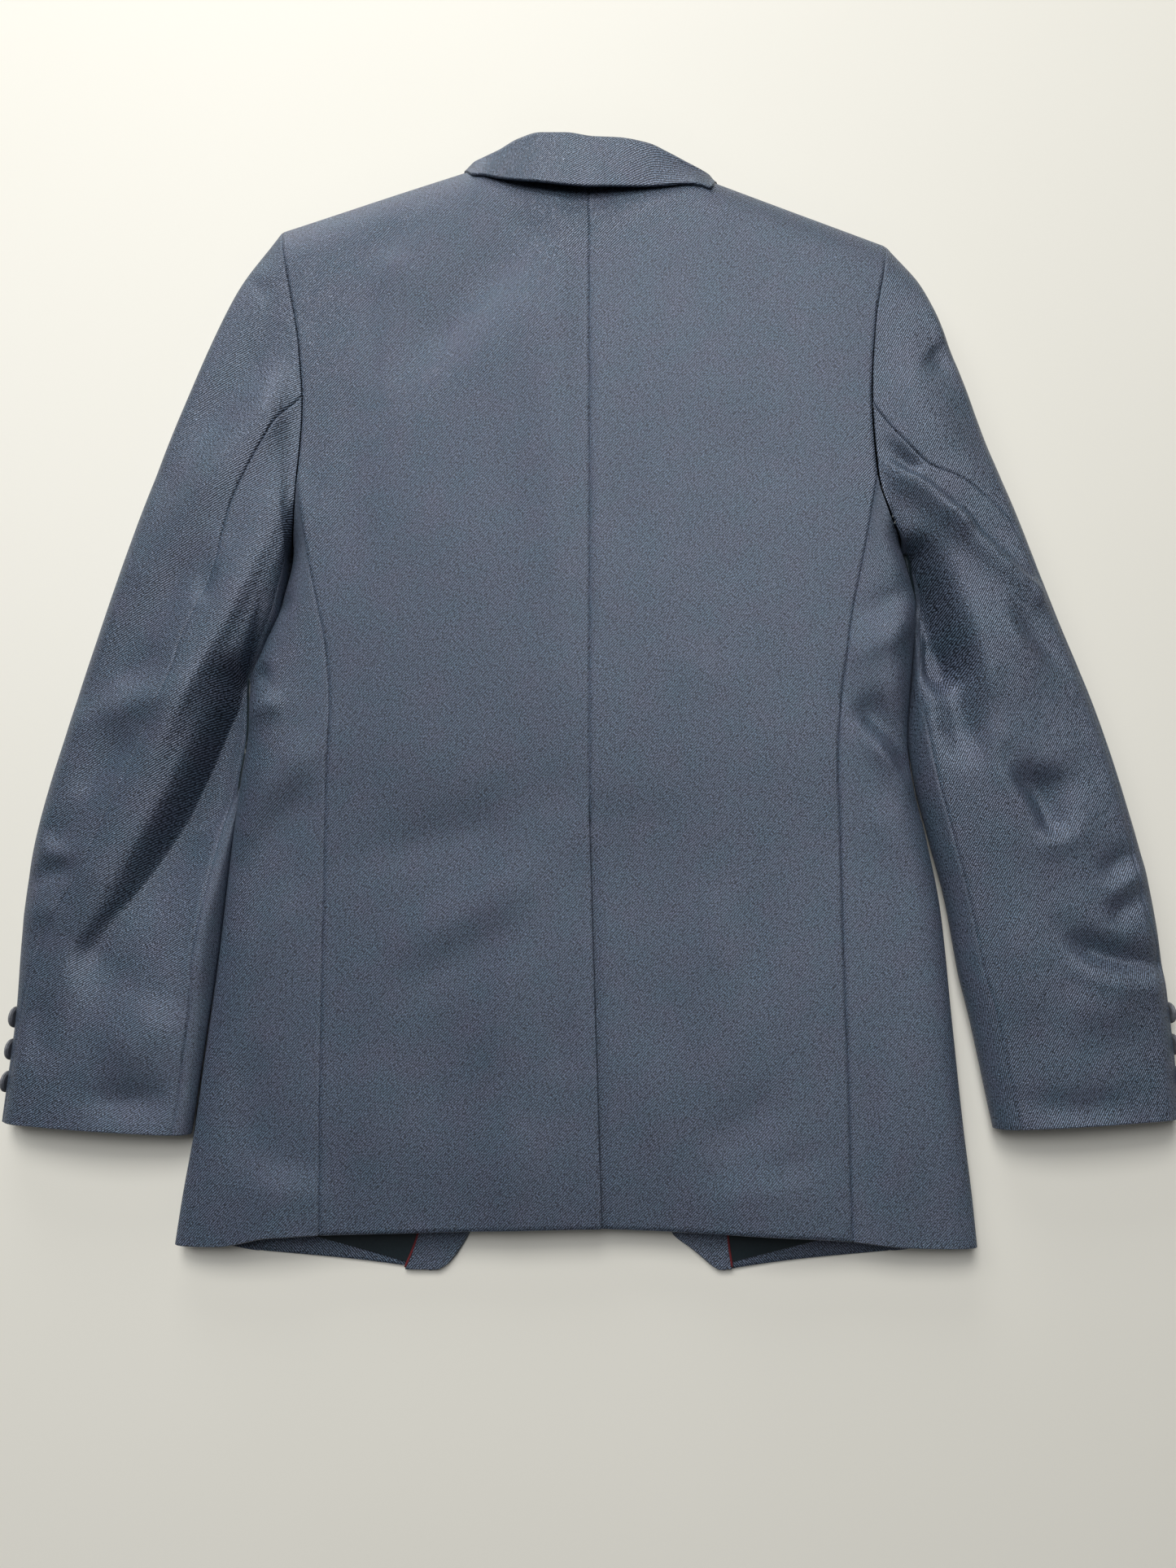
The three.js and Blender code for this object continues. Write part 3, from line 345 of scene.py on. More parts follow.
def bell(distance, width):
    return np.exp(-((distance / width) ** 2))


def fold_height(f, x, y):
    """The height that one fold adds at points of the plan."""
    reach = 3 * max(f["before"], f["after"])
    added = np.zeros(x.shape)
    near = (
        (x > min(f["ax"], f["mx"], f["bx"]) - reach) & (x < max(f["ax"], f["mx"], f["bx"]) + reach)
        & (y > min(f["ay"], f["my"], f["by"]) - reach) & (y < max(f["ay"], f["my"], f["by"]) + reach)
    )
    if not near.any():
        return added
    px, py = x[near], y[near]
    parts = 12
    s = np.linspace(0, 1, parts + 1)
    first, middle, last = (1 - s) * (1 - 2 * s), 4 * s * (1 - s), s * (2 * s - 1)
    path_x = first * f["ax"] + middle * f["mx"] + last * f["bx"]
    path_y = first * f["ay"] + middle * f["my"] + last * f["by"]
    least, side, along = np.full(px.shape, np.inf), np.zeros(px.shape), np.zeros(px.shape)
    for i in range(parts):
        dx, dy = path_x[i + 1] - path_x[i], path_y[i + 1] - path_y[i]
        share = np.clip(((px - path_x[i]) * dx + (py - path_y[i]) * dy) / (dx * dx + dy * dy), 0, 1)
        off_x, off_y = px - path_x[i] - share * dx, py - path_y[i] - share * dy
        away = np.hypot(off_x, off_y)
        closer = away < least
        least = np.where(closer, away, least)
        side = np.where(closer, (dx * off_y - dy * off_x) / math.hypot(dx, dy), side)
        along = np.where(closer, (i + share) / parts, along)
    turn = 4 + 16 * ease(0.8, 1, along)
    width = mix(f["before"], f["after"], ease(-turn, turn, side))
    ends = mix(f["start"], 1, ease(0, 0.4, along)) * mix(f["end"], 1, ease(1, 0.6, along))
    added[near] = f["height"] * ends * bell(least, width)
    return added


def folds_at(rows, x, y):
    x, y = np.broadcast_arrays(x, y)
    return sum((fold_height(row, x, y) for row in rows), np.zeros(x.shape))


def drift(x, y, scale, seed):
    """Slow uneven waves of about one scale, between -1 and 1, the same on every run."""
    total = 0
    for i in range(7):
        turn = 2.4 * i + seed
        stretch = 0.7 + 0.13 * i
        along = x * math.cos(turn) + y * math.sin(turn)
        total = total + np.sin(along * 2 * math.pi / (scale * stretch) + 1.7 * i * i + seed)
    return total / 4


def graded(length, step, fine=(0.5, 1, 1.7, 2.6, 4, 6)):
    """Shares of a length, about one step apart and closer at both ends."""
    inner = np.linspace(8, length - 8, max(2, round((length - 16) / step)))
    near = np.array((0,) + tuple(fine))
    return np.concatenate([near, inner, length - near[::-1]]) / length


# ---- Cloth shells ----
def in_scene(name, data):
    """A new object in the scene."""
    made = bpy.data.objects.new(name, data)
    bpy.context.scene.collection.objects.link(made)
    return made


def linked(name, points, faces, materials):
    """A smooth object from points in millimetres."""
    mesh = bpy.data.meshes.new(name)
    mesh.from_pydata((np.array(points) * MM).tolist(), [], faces)
    mesh.polygons.foreach_set("use_smooth", np.ones(len(faces), bool))
    for material in materials:
        mesh.materials.append(material)
    return in_scene(name, mesh)


def unit(vectors):
    return vectors / np.maximum(np.linalg.norm(vectors, axis=-1, keepdims=True), 1e-9)


def arc(points, axis):
    """Lengths along the rows or columns of a grid of points."""
    steps = np.linalg.norm(np.diff(points, axis=axis), axis=-1)
    start = np.zeros_like(np.take(steps, [0], axis=axis))
    return np.concatenate([start, np.cumsum(steps, axis=axis)], axis=axis)


def shell(name, outer, thickness, turn, grain, materials, inside=None):
    """A closed sheet of cloth. outer is its outer skin, a grid of points.

    turn is 1 where columns x rows point out, and -1 where they point in.
    grain is the plan of the cloth's threads in millimetres at each point. inside is true where the inner skin
    shows the second material. The edges are rounded.
    """
    rows, columns = outer.shape[:2]
    out = unit(np.cross(np.gradient(outer, axis=1), np.gradient(outer, axis=0))) * turn
    out[outer[..., 2] < ON_FLOOR] = (0, 0, -1)
    inner = outer - out * thickness
    ring = (
        [(0, i) for i in range(columns)]
        + [(j, columns - 1) for j in range(1, rows)]
        + [(rows - 1, i) for i in range(columns - 2, -1, -1)]
        + [(j, 0) for j in range(rows - 2, 0, -1)]
    )
    ring_j, ring_i = np.array(ring).T
    in_j, in_i = np.clip(ring_j, 1, rows - 2), np.clip(ring_i, 1, columns - 2)
    rim_outer, rim_inner = outer[ring_j, ring_i], inner[ring_j, ring_i]
    away = unit(rim_outer - outer[in_j, in_i])
    middle = (rim_outer + rim_inner) / 2 + away * thickness * RIM_REACH
    points = np.concatenate([outer.reshape(-1, 3), inner.reshape(-1, 3), middle])
    points[:, 2] = np.maximum(points[:, 2], 0)  # what a deep fold pushes under the floor is set at its height
    index = np.arange(rows * columns).reshape(rows, columns)
    quads = np.stack([index[:-1, :-1], index[:-1, 1:], index[1:, 1:], index[1:, :-1]], axis=-1).reshape(-1, 4)
    edge = ring_j * columns + ring_i
    following = np.roll(edge, -1)
    count = rows * columns
    rim = 2 * count + np.arange(len(edge))
    rim_next = np.roll(rim, -1)
    strips = np.concatenate([
        np.stack([edge, rim, rim_next, following], axis=-1),
        np.stack([rim, edge + count, following + count, rim_next], axis=-1),
    ])
    faces = np.concatenate([quads, quads[:, ::-1] + count, strips])
    if turn < 0:
        faces = faces[:, ::-1]
    slots = np.zeros(len(faces), int)
    if inside is not None:
        slots[len(quads):2 * len(quads)] = inside[:-1, :-1].reshape(-1)
    flat = grain.reshape(-1, 2)
    past = unit(grain[ring_j, ring_i] - grain[in_j, in_i]) * thickness * RIM_THREADS
    threads = np.concatenate([flat, flat, grain[ring_j, ring_i] + past])
    piece = linked(name, points, faces.tolist(), materials)
    mesh = piece.data
    mesh.polygons.foreach_set("material_index", slots)
    layer = mesh.uv_layers.new(name="grain")
    corners = np.empty(len(mesh.loops), int)
    mesh.loops.foreach_get("vertex_index", corners)
    layer.uv.foreach_set("vector", (threads[corners] * MM).astype(np.float32).ravel())
    mesh.update()
    return piece


def laid(name, lines, x, y, z, thickness, materials, across=1, inside=None):
    """A shell at distances x out from the centre line. across is -1 where it is seen from its other face."""
    points = np.stack([lines.sign * x, y, z], axis=-1)
    grain = np.stack([across * lines.sign * x, y], axis=-1)
    return shell(name, points, thickness, lines.sign, grain, materials, inside)


# ---- The body ----
crown_height = curve(HEIGHTS, "y", "crown")
side_height = curve(HEIGHTS, "y", "side")
hem_line = curve(HEM, "x", "y")
wrap_under = curve(WRAP, "y", "x")
front_hem = curve(FRONT_HEM, "a", "y")
turned_width = curve(TURNED, "y", "x")


class Lines:
    """The lines of one side of the body, as distances out from the centre line at levels y."""

    def __init__(self, side):
        self.sign = side["sign"]
        self.shoulder = side["shoulder"]
        self.neck = side["neck"]
        self.fold = curve(side["fold"], "y", "x")
        self.seam = curve(side["seam"], "y", "x")
        self.armhole_back = curve(side["armhole"], "y", "back")
        self.armhole_front = curve(side["armhole"], "y", "front")
        self.edge_curve = curve(side["edge"], "y", "x")
        self.facing = curve(side["facing"], "y", "x")
        self.seam_top = side["seam"]["y"][-1]
        self.underarm_y = side["armhole"]["y"][0]
        self.underarm_x = side["armhole"]["back"][0]
        self.front_seam_top = self.underarm_y + 40
        self.slope = (self.neck[1] - self.shoulder[1]) / (self.shoulder[0] - self.neck[0])
        self.slant = math.cos(math.atan(self.slope))

    def back_edge(self, y):
        return np.where(y < self.seam_top, self.seam(y), self.armhole_back(y))

    def front_side(self, y):
        top = self.front_seam_top
        low = mix(self.fold(y) - wrap_under(y), self.armhole_front(top), ease(self.underarm_y - 130, top, y))
        return np.where(y < top, low, self.armhole_front(y))

    def shoulder_line(self, x):
        neck_x, neck_y = self.neck
        straight = self.shoulder[1] + (self.shoulder[0] - x) * self.slope
        return np.where(x > neck_x, straight, mix(NECK_CENTRE, neck_y, (x / neck_x) ** 2))

    def armhole(self, k):
        """The armhole as a ring: k runs from the shoulder down the back to the underarm, and up the front."""
        y = mix(self.underarm_y, self.shoulder[1], np.abs(1 - 2 * k))
        return np.where(k < 0.5, self.armhole_back(y), self.armhole_front(y)), y

    def ring_share(self, y, on_back):
        half = (y - self.underarm_y) / (self.shoulder[1] - self.underarm_y) / 2
        return 0.5 - half if on_back else 0.5 + half

    def edge(self, y):
        above = mix(ROLL_X, self.neck[0] - 2, (y - ROLL_Y) / (self.neck[1] - ROLL_Y))
        return np.where(y < ROLL_Y, self.edge_curve(y), above)


LEFT, RIGHT = Lines(SIDES["left"]), Lines(SIDES["right"])


def top_edge_height(lines, x):
    return mix(NECK_HEIGHT, SHOULDER_MID, ease(lines.neck[0] - 12, lines.neck[0] + 6, x))


def back_height(lines, x, y):
    share = np.clip(np.abs(x) / lines.back_edge(y), 0, 1)
    inside = mix(crown_height(y), side_height(y), share ** 2.5) + folds_at(BODY_FOLDS, lines.sign * x, y)
    inside = inside + 0.5 * drift(lines.sign * x, y, 120, 1.3)
    edge = top_edge_height(lines, np.abs(x))
    below = (lines.shoulder_line(np.abs(x)) - y) * lines.slant
    return edge + (inside - edge) * roll(below, SHOULDER_ROLL)


def side_top_height(lines, x, y):
    full = side_height(y) + folds_at(BODY_FOLDS, lines.sign * x, y) + 0.5 * drift(lines.sign * x, y, 120, 1.3)
    return FOLD_MID + (np.maximum(full, LEAST_TOP + 8) - FOLD_MID) * roll(lines.fold(y) - x, SIDE_ROLL)


def seam_valley(distance, along, seed):
    """A pressed seam: a narrow groove, with a slight pucker beside it."""
    return -0.7 * bell(distance, 1.1) + 0.15 * bell(distance, 7) * drift(along, along * 0.3, 17, seed)


def back_panel(name, lines, materials):
    is_left = lines.sign < 0
    below = np.linspace(0, 1, 90)
    above = graded(lines.neck[1] - VENT_TOP, 3.2)[1:]
    top_share = np.concatenate([np.zeros(len(below)), above])
    low_share = np.concatenate([below, np.ones(len(above))])
    u = graded(200, 3.0)[None, :]
    low, high = low_share[:, None], top_share[:, None]
    hem = hem_line(lines.sign * u * lines.seam(HEM_LEVEL))
    top = lines.shoulder_line(u * lines.shoulder[0])
    y = np.where(high > 0, mix(VENT_TOP, top, high), mix(hem, VENT_TOP, low))
    down = VENT_TOP - y
    vent = VENT_SLANT * np.clip(down / (VENT_TOP - HEM_LEVEL), 0, 1)
    if is_left:
        inner = -vent
    else:
        inner = -VENT_UNDERLAP * ease(0, VENT_RAMP, down)
    outer_edge = lines.back_edge(y)
    x = mix(inner, outer_edge, u)
    lapped = (1 if is_left else -1) * (RISE / 2 + 0.2) * ease(-VENT_RAMP, -2, down)
    lapped = lapped * (1 - ease(VENT_UNDERLAP + 10, VENT_UNDERLAP + 50, x))
    z = back_height(lines, x, y) + lapped
    z = z + seam_valley(outer_edge - x, y, 2.1)
    z = z + seam_valley(x - inner, y, 0.4) * (1 - ease(-6, 6, down))
    # The vent's upper edge rolls down, and the layer beneath dips beside it.
    z = z - (0.7 * bell(x - inner, 1.6) if is_left else 1.5 * bell(x - vent - 1.4, 2.8)) * ease(2, 30, down)
    return laid(name, lines, x, y, z, CLOTH, materials, inside=y > hem + HEM_TURNED)


def side_panel(name, lines, materials):
    first = lines.ring_share(lines.seam_top, True)
    last = lines.ring_share(lines.front_seam_top, False)
    upper = -1 + graded(60, 1.6)[:-7]
    w = np.concatenate([upper, np.linspace(upper[-1], 1, 34)[1:]])[None, :]
    v = graded(540, 3.2)[:, None]
    share = np.abs(w)
    top_x, top_y = lines.armhole(np.where(w < 0, mix(0.5, first, share), mix(0.5, last, share)))
    level = top_y - SEAM_GAP

    def plain(at):
        return mix(lines.fold(at), np.where(w < 0, lines.seam(at), lines.front_side(at) + SEAM_GAP), w * w)

    back_hem = hem_line(lines.sign * plain(np.full_like(w, HEM_LEVEL)))
    start = mix(back_hem, front_hem(0.0), ease(0.55, 1, w))
    y = mix(start, level, v)
    x = plain(y) + v ** 8 * (top_x - plain(level + 0 * v))
    over = side_top_height(lines, x, y) + seam_valley(x - lines.seam(y), y, 2.1)
    under = FOLD_MID * (1 - roll(lines.fold(y) - x, UNDER_ROLL))
    z = np.where(w < 0, over, under)
    points = np.stack([lines.sign * x, y, z], axis=-1)
    around = arc(points, 1)
    grain = np.stack([lines.sign * (lines.seam(y[:, :1]) + around), y], axis=-1)
    inside = y > start + HEM_TURNED
    return shell(name, points, CLOTH, lines.sign, grain, materials, inside)


# ---- The fronts, lapels and collar ends, which lie on the surface ----
def turned_lift(lines, x, y):
    covered = 1 - ease(turned_width(y) + 22, turned_width(y) + 60, x - lines.edge(y))
    return INNER_RISE * covered * ease(ROLL_Y - 70, ROLL_Y - 30, y)


def button_lift(x, y):
    nearest = np.minimum(np.hypot(x, y - FRONT_BUTTONS[0]), np.hypot(x, y - FRONT_BUTTONS[1]))
    return 3.4 * (1 - ease(26, 42, nearest))


def left_front_lift(x, y):
    return np.maximum(turned_lift(LEFT, x, y), button_lift(x, y))


def over_left(world_x, y):
    """The right lapel and front lie on the left front where they cross it."""
    past = world_x + LEFT.edge(y)
    return (1 - ease(24, 64, past)) * (left_front_lift(-world_x, y) + INNER_RISE)


def front_lift(lines, x, y):
    if lines.sign < 0:
        return left_front_lift(x, y)
    return over_left(x, y) + turned_lift(lines, x, y)


def front_panel(name, lines, materials):
    u = 1 - (1 - graded(230, 5)[None, :]) ** 1.3
    bottom, top = FRONT_LEVEL, lines.neck[1]
    level = np.concatenate([np.linspace(bottom, bottom + 30, 16), np.arange(-285, 478, 5.0), [top]])[:, None]
    shoulder_x = mix(lines.shoulder[0], lines.neck[0] - 2, u)
    y = level + (front_hem(u) - bottom) * (1 - ease(bottom, -245, level))
    y = y + (lines.shoulder_line(shoulder_x) - 0.4 - top) * ease(250, top, level)
    x = mix(lines.front_side(y) - SEAM_GAP, lines.edge(y), u)
    lift = front_lift(lines, x, y)
    below = (lines.shoulder_line(np.maximum(x, lines.neck[0])) - y) * lines.slant
    seam_height = SHOULDER_MID - 0.4
    z = seam_height - (seam_height - lift) * roll(below, UNDER_ROLL)
    return laid(name, lines, x, y, z, CLOTH, materials, across=-1)


def lapel(name, lines, materials):
    u, v = graded(90, 4)[None, :], graded(300, 5)[:, None]
    y = mix(ROLL_Y + 23, mix(374, 406, u), v)
    x = lines.edge(y) + mix(turned_width(y), 0, u)
    z = 0 * x if lines.sign < 0 else over_left(x, y)
    return laid(name, lines, x, y, z, CLOTH, materials, across=-1)


def collar_end(name, lines, materials):
    u, v = graded(40, 3)[None, :], graded(120, 3)[:, None]
    flat_share, low_y = 0.5, lines.neck[1] - 24
    width = mix(46, 14, ease(0.1, flat_share + 0.2, v))
    flat_y = mix(407 - 16 * (1 - u), low_y, np.clip(v / flat_share, 0, 1))
    x = lines.edge(flat_y) + mix(width, 0, u)
    angle = math.pi / 2 * np.clip((v - flat_share) / (1 - flat_share), 0, 1) * 0.9
    reach = lines.shoulder_line(np.maximum(x, lines.neck[0])) + INNER_RISE - low_y
    y = flat_y + reach * np.sin(angle)
    z = 9 * (1 - np.cos(angle)) + 0 * x
    points = np.stack([lines.sign * x, y, z], axis=-1)
    grain = np.stack([-lines.sign * x, arc(points, 0)], axis=-1)
    return shell(name, points, CLOTH, lines.sign, grain, materials)


def facing_panel(name, lines, materials):
    u, v = graded(40, 2)[None, :], graded(120, 2.5)[:, None]
    y = mix(-318.5 - 0.5 * u, INSIDE_TOP, v)
    x = mix(lines.facing(y) - 0.2, lines.edge(y) + 1, u)
    z = front_lift(lines, x, y) + CLOTH + 0.4 + 0.2 * drift(x, y, 30, 3.3)
    return laid(name, lines, x, y, z, FACING, materials)


def lining_panel(name, lines, materials):
    u, v = graded(130, 2.5)[None, :], graded(110, 2.5)[:, None]
    hem = mix(front_hem(0 * u) + 17, front_hem(0 * u + 0.8) + 3, u)
    y = mix(hem, INSIDE_TOP, v)
    x = mix(lines.front_side(y) - 8, lines.facing(y) + 0.6, u)
    z = CLOTH + 0.4 + 0 * x
    return laid(name, lines, x, y, z, LINING, materials)


# ---- The sleeves ----
class Sleeve:
    """The ring of a sleeve. w runs from the outer fold over the top to the inner fold, and back beneath."""

    def __init__(self, side, lines, sleeve_folds, lap):
        self.lines, self.folds = lines, sleeve_folds
        self.over, self.lift = curve(lap, "t", "over"), curve(lap, "t", "lift")
        rows = side["sleeve"]
        for key in ("out_x", "out_y", "in_y", "clear", "crown", "elbow", "forearm"):
            setattr(self, key, curve(rows, "t", key))

    def around(self, share):
        return np.arccos(1 - 2 * share) / math.pi

    def ring(self, w, t):
        lines = self.lines
        w, t = np.broadcast_arrays(w, t)
        s = (1 - np.cos(math.pi * w)) / 2
        upper = np.sin(math.pi * w) >= 0
        in_x, in_y = lines.fold(self.in_y(t)) + self.clear(t) - self.over(t), self.in_y(t)
        out_x, out_y = self.out_x(t), self.out_y(t)
        width = np.hypot(out_x - in_x, out_y - in_y)
        ring_x, ring_y = lines.armhole(np.where(upper, s / 2, 1 - s / 2))
        bend = (1 - ease(0, 0.34, t)) ** 1.5
        x = mix(out_x, in_x, s) + 0.15 + bend * (ring_x - mix(lines.shoulder[0], lines.underarm_x, s))
        y = mix(out_y, in_y, s) + bend * (ring_y - mix(lines.shoulder[1], lines.underarm_y, s))
        distance = np.minimum(s, 1 - s) * width
        middle = mix(SHOULDER_MID, FOLD_MID, ease(0, 0.2, t + s)) + self.lift(t) * ease(0.7, 1, s)
        share = roll(distance, SLEEVE_ROLL)
        world_x = lines.sign * x
        arch = 0.8 + 0.2 * np.sin(math.pi * s)
        high = self.crown(t) * arch + folds_at(self.folds, world_x, y) + 0.5 * drift(world_x, y, 90, 4.2)
        plain = middle + (np.maximum(high, LEAST_TOP) - middle) * share
        at_body = np.where(
            ring_y > lines.seam_top, back_height(lines, ring_x, ring_y), side_top_height(lines, ring_x, ring_y)
        )
        over = mix(at_body, plain, ease(0, 0.1, t))
        over = over + seam_valley(np.abs(s - self.elbow(t)) * width, t * SLEEVE_LENGTH, 5.1)
        over = over + seam_valley(np.abs(s - self.forearm(t)) * width, t * SLEEVE_LENGTH, 6.4)
        over = over + seam_valley(t * HEAD_LENGTH, s * width, 7.7)
        z = np.where(upper, over, middle * (1 - share))
        return np.stack([world_x, y, z], axis=-1)


def sleeve_panel(name, sleeve, materials, is_top):
    t = graded(SLEEVE_LENGTH, 3.2)[:, None]
    elbow, forearm = sleeve.elbow(t), sleeve.forearm(t)
    if is_top:
        share = graded(340, 3.2)[None, :]
        w = mix(2 + sleeve.around(elbow), sleeve.around(forearm), share)
    else:
        share = graded(150, 2.6)[None, :]
        w = mix(sleeve.around(forearm), sleeve.around(elbow), share)
    points = sleeve.ring(w, t)
    sign = sleeve.lines.sign
    # The threads' plan, opened out over the rolled edges: on the upper side, beneath, and past the inner fold.
    s = (1 - np.cos(math.pi * w)) / 2
    far, near = sleeve.ring(0.0, t), sleeve.ring(1.0, t)
    width = np.hypot(far[..., 0] - near[..., 0], far[..., 1] - near[..., 1])
    flat = roll(np.minimum(s, 1 - s) * width, SLEEVE_ROLL)
    out, far_out, near_out = sign * points[..., 0], sign * far[..., 0], sign * near[..., 0]
    over = out + WALL * (1 - flat) * np.where(s < 0.5, 1, -1)
    beneath = 2 * far_out - out + WALL + UNDER_WALL * np.where(s < 0.5, flat, 2 - flat)
    past = 2 * (far_out - near_out) + out + WALL * (1 + flat) + 2 * UNDER_WALL
    plan_x = sign * np.where(np.sin(math.pi * w) >= 0, np.where(is_top & (w <= 1), past, over), beneath)
    lean = math.radians(SLEEVE_LEAN) * sign
    grain = np.stack([
        plan_x * math.cos(lean) + points[..., 1] * math.sin(lean),
        points[..., 1] * math.cos(lean) - plan_x * math.sin(lean),
    ], axis=-1)
    inside = np.broadcast_to(t < 1 - CUFF_TURNED / SLEEVE_LENGTH, w.shape)
    return shell(name, points, CLOTH, -sign, grain, materials, inside)


# ---- Piping and buttons ----
def tubes(name, paths, radius, materials, sides=8):
    """Round threads or piping along paths of points in millimetres, with closed ends."""
    points, faces = [], []
    for path in paths:
        path = np.array(path, float)
        along = unit(np.gradient(path, axis=0))
        up = unit(np.cross(along, np.array([0.31, 0.52, 0.8])))
        across = np.cross(along, up)
        turn = np.linspace(0, 2 * math.pi, sides, endpoint=False)[None, :, None]
        rings = path[:, None] + radius * (np.cos(turn) * up[:, None] + np.sin(turn) * across[:, None])
        start, count = len(points), len(path)
        points += rings.reshape(-1, 3).tolist()
        for j in range(count - 1):
            for i in range(sides):
                a, b = start + j * sides + i, start + j * sides + (i + 1) % sides
                faces.append((a, b, b + sides, a + sides))
        faces.append(tuple(start + i for i in reversed(range(sides))))
        faces.append(tuple(start + (count - 1) * sides + i for i in range(sides)))
    return linked(name, points, faces, materials)


def piping(name, lines, materials):
    y = np.linspace(-317.2, INSIDE_TOP, 60)
    x = lines.facing(y) + 0.5
    z = CLOTH + 0.5 + PIPING + front_lift(lines, x, y)
    return tubes(name, [np.stack([lines.sign * x, y, z], axis=-1)], PIPING, materials, 10)


def button(name, place, facing, size, materials):
    """A four-hole button with a rolled rim round a shallow well. place is the middle of its back."""
    radius, thick, hole, pitch = size["radius"], size["thickness"], size["hole"], size["pitch"]
    profile = table(
        "r z", (0, 0.6), (0.5, 0.62), (0.66, 0.66), (0.74, 0.84), (0.82, 0.98), (0.9, 1), (0.96, 0.88),
        (1, 0.62),
    )
    height = curve(profile, "r", "z")
    share = np.concatenate([np.linspace(0, 0.55, 34)[1:], np.linspace(0.57, 1, 26)])
    turn = np.linspace(0, 2 * math.pi, 64, endpoint=False)
    r, a = radius * share[:, None], turn[None, :]
    x, y = r * np.cos(a), r * np.sin(a)
    face = thick * height(r / radius) + 0 * x
    back = 0.28 * thick * ease(0.72, 1, r / radius) ** 2 + 0 * x
    away = np.min([np.hypot(x - i * pitch / 2, y - j * pitch / 2) for i in (-1, 1) for j in (-1, 1)], axis=0)
    # The holes: each skin dips to a thin web in the middle, dark inside.
    dip = 1 - ease(hole * 0.75, hole * 1.05, away)
    middle = thick * 0.3
    top = np.stack([x, y, mix(face, middle + 0.05, dip)], axis=-1).reshape(-1, 3)
    bottom = np.stack([x, y, mix(back, middle - 0.05, dip)], axis=-1).reshape(-1, 3)
    points = np.concatenate([[[0, 0, thick * 0.6]], top, [[0, 0, 0]], bottom])
    rings, sides = len(share), len(turn)
    faces = []
    for start, flip in ((0, False), (1 + rings * sides, True)):
        for i in range(sides):
            n = (i + 1) % sides
            cap = (start, start + 1 + i, start + 1 + n)
            faces.append(cap[::-1] if flip else cap)
            for j in range(rings - 1):
                low, high = start + 1 + j * sides, start + 1 + (j + 1) * sides
                quad = (low + i, high + i, high + n, low + n)
                faces.append(quad[::-1] if flip else quad)
    rim, under = 1 + (rings - 1) * sides, 2 + rings * sides + (rings - 1) * sides
    for i in range(sides):
        n = (i + 1) % sides
        faces.append((rim + i, under + i, under + n, rim + n))
    z_axis = np.array(facing, float) / np.linalg.norm(facing)
    x_axis = unit(np.cross([0.0, 1.0, 0.0], z_axis))
    frame_axes = np.stack([x_axis, np.cross(z_axis, x_axis), z_axis])
    made = linked(name, points @ frame_axes + place, faces, materials[:1])
    # Two pairs of stitches from hole to hole.
    paths = []
    for side in (-1, 1):
        for lean in (-0.28, 0.28):
            s = np.linspace(0, 1, 9)
            along = mix(-pitch / 2, pitch / 2, s)
            lift = thick * 0.45 + thick * 0.3 * np.sin(math.pi * s) ** 0.5
            stitch = np.stack([along, side * pitch / 2 + lean * mix(1, -1, s), lift], axis=-1)
            paths.append(stitch @ frame_axes + place)
    stitches = tubes(name + "_thread", paths, size["thread"], [materials[1]], 6)
    return made, stitches


# ---- The collar at the back: the stand runs up from the neck seam, and the fall folds back over it ----
def collar_back(name, materials):
    fold, edge, over = (curve(COLLAR, "x", key) for key in ("fold", "edge", "over"))
    v = graded(182, 2)[:, None]
    turn_at, turn_end = 0.35, 0.6
    u = np.concatenate([
        np.linspace(0, turn_at, 12)[:-1], np.linspace(turn_at, turn_end, 17)[:-1],
        turn_end + (1 - turn_end) * graded(44, 1.8),
    ])[None, :]
    x = mix(COLLAR["x"][0], COLLAR["x"][-1], v)

    def by_side(value):
        return np.where(x < 0, value(LEFT), value(RIGHT))

    under = by_side(lambda lines: top_edge_height(lines, np.abs(x))) - CLOTH
    seam = by_side(lambda lines: lines.shoulder_line(np.abs(x))) + 0.3
    radius = (over(x) - under) / 2
    reach = np.minimum(radius, (fold(x) - np.maximum(edge(x), seam)) * 0.6)
    turn = fold(x) - reach
    angle = math.pi * np.clip((u - turn_at) / (turn_end - turn_at), 0, 1)
    share = np.clip((u - turn_end) / (1 - turn_end), 0, 1)
    on_back = by_side(lambda lines: back_height(lines, np.abs(x), edge(x))) + RISE + 0.4
    on_back = on_back + curve(COLLAR, "x", "lift")(x)
    y = np.where(u < turn_at, mix(seam, turn, u / turn_at), turn + reach * np.sin(angle))
    y = np.where(u > turn_end, mix(turn, edge(x), share), y)
    z = under + radius * (1 - np.cos(angle))
    z = np.where(u > turn_end, mix(over(x), np.maximum(over(x), on_back), share), z)
    points = np.stack([x + 0 * y, y, z], axis=-1)
    grain = np.stack([x + 0 * y, -arc(points, 1)], axis=-1)
    return shell(name, points, CLOTH + 0.6, 1, grain, materials)


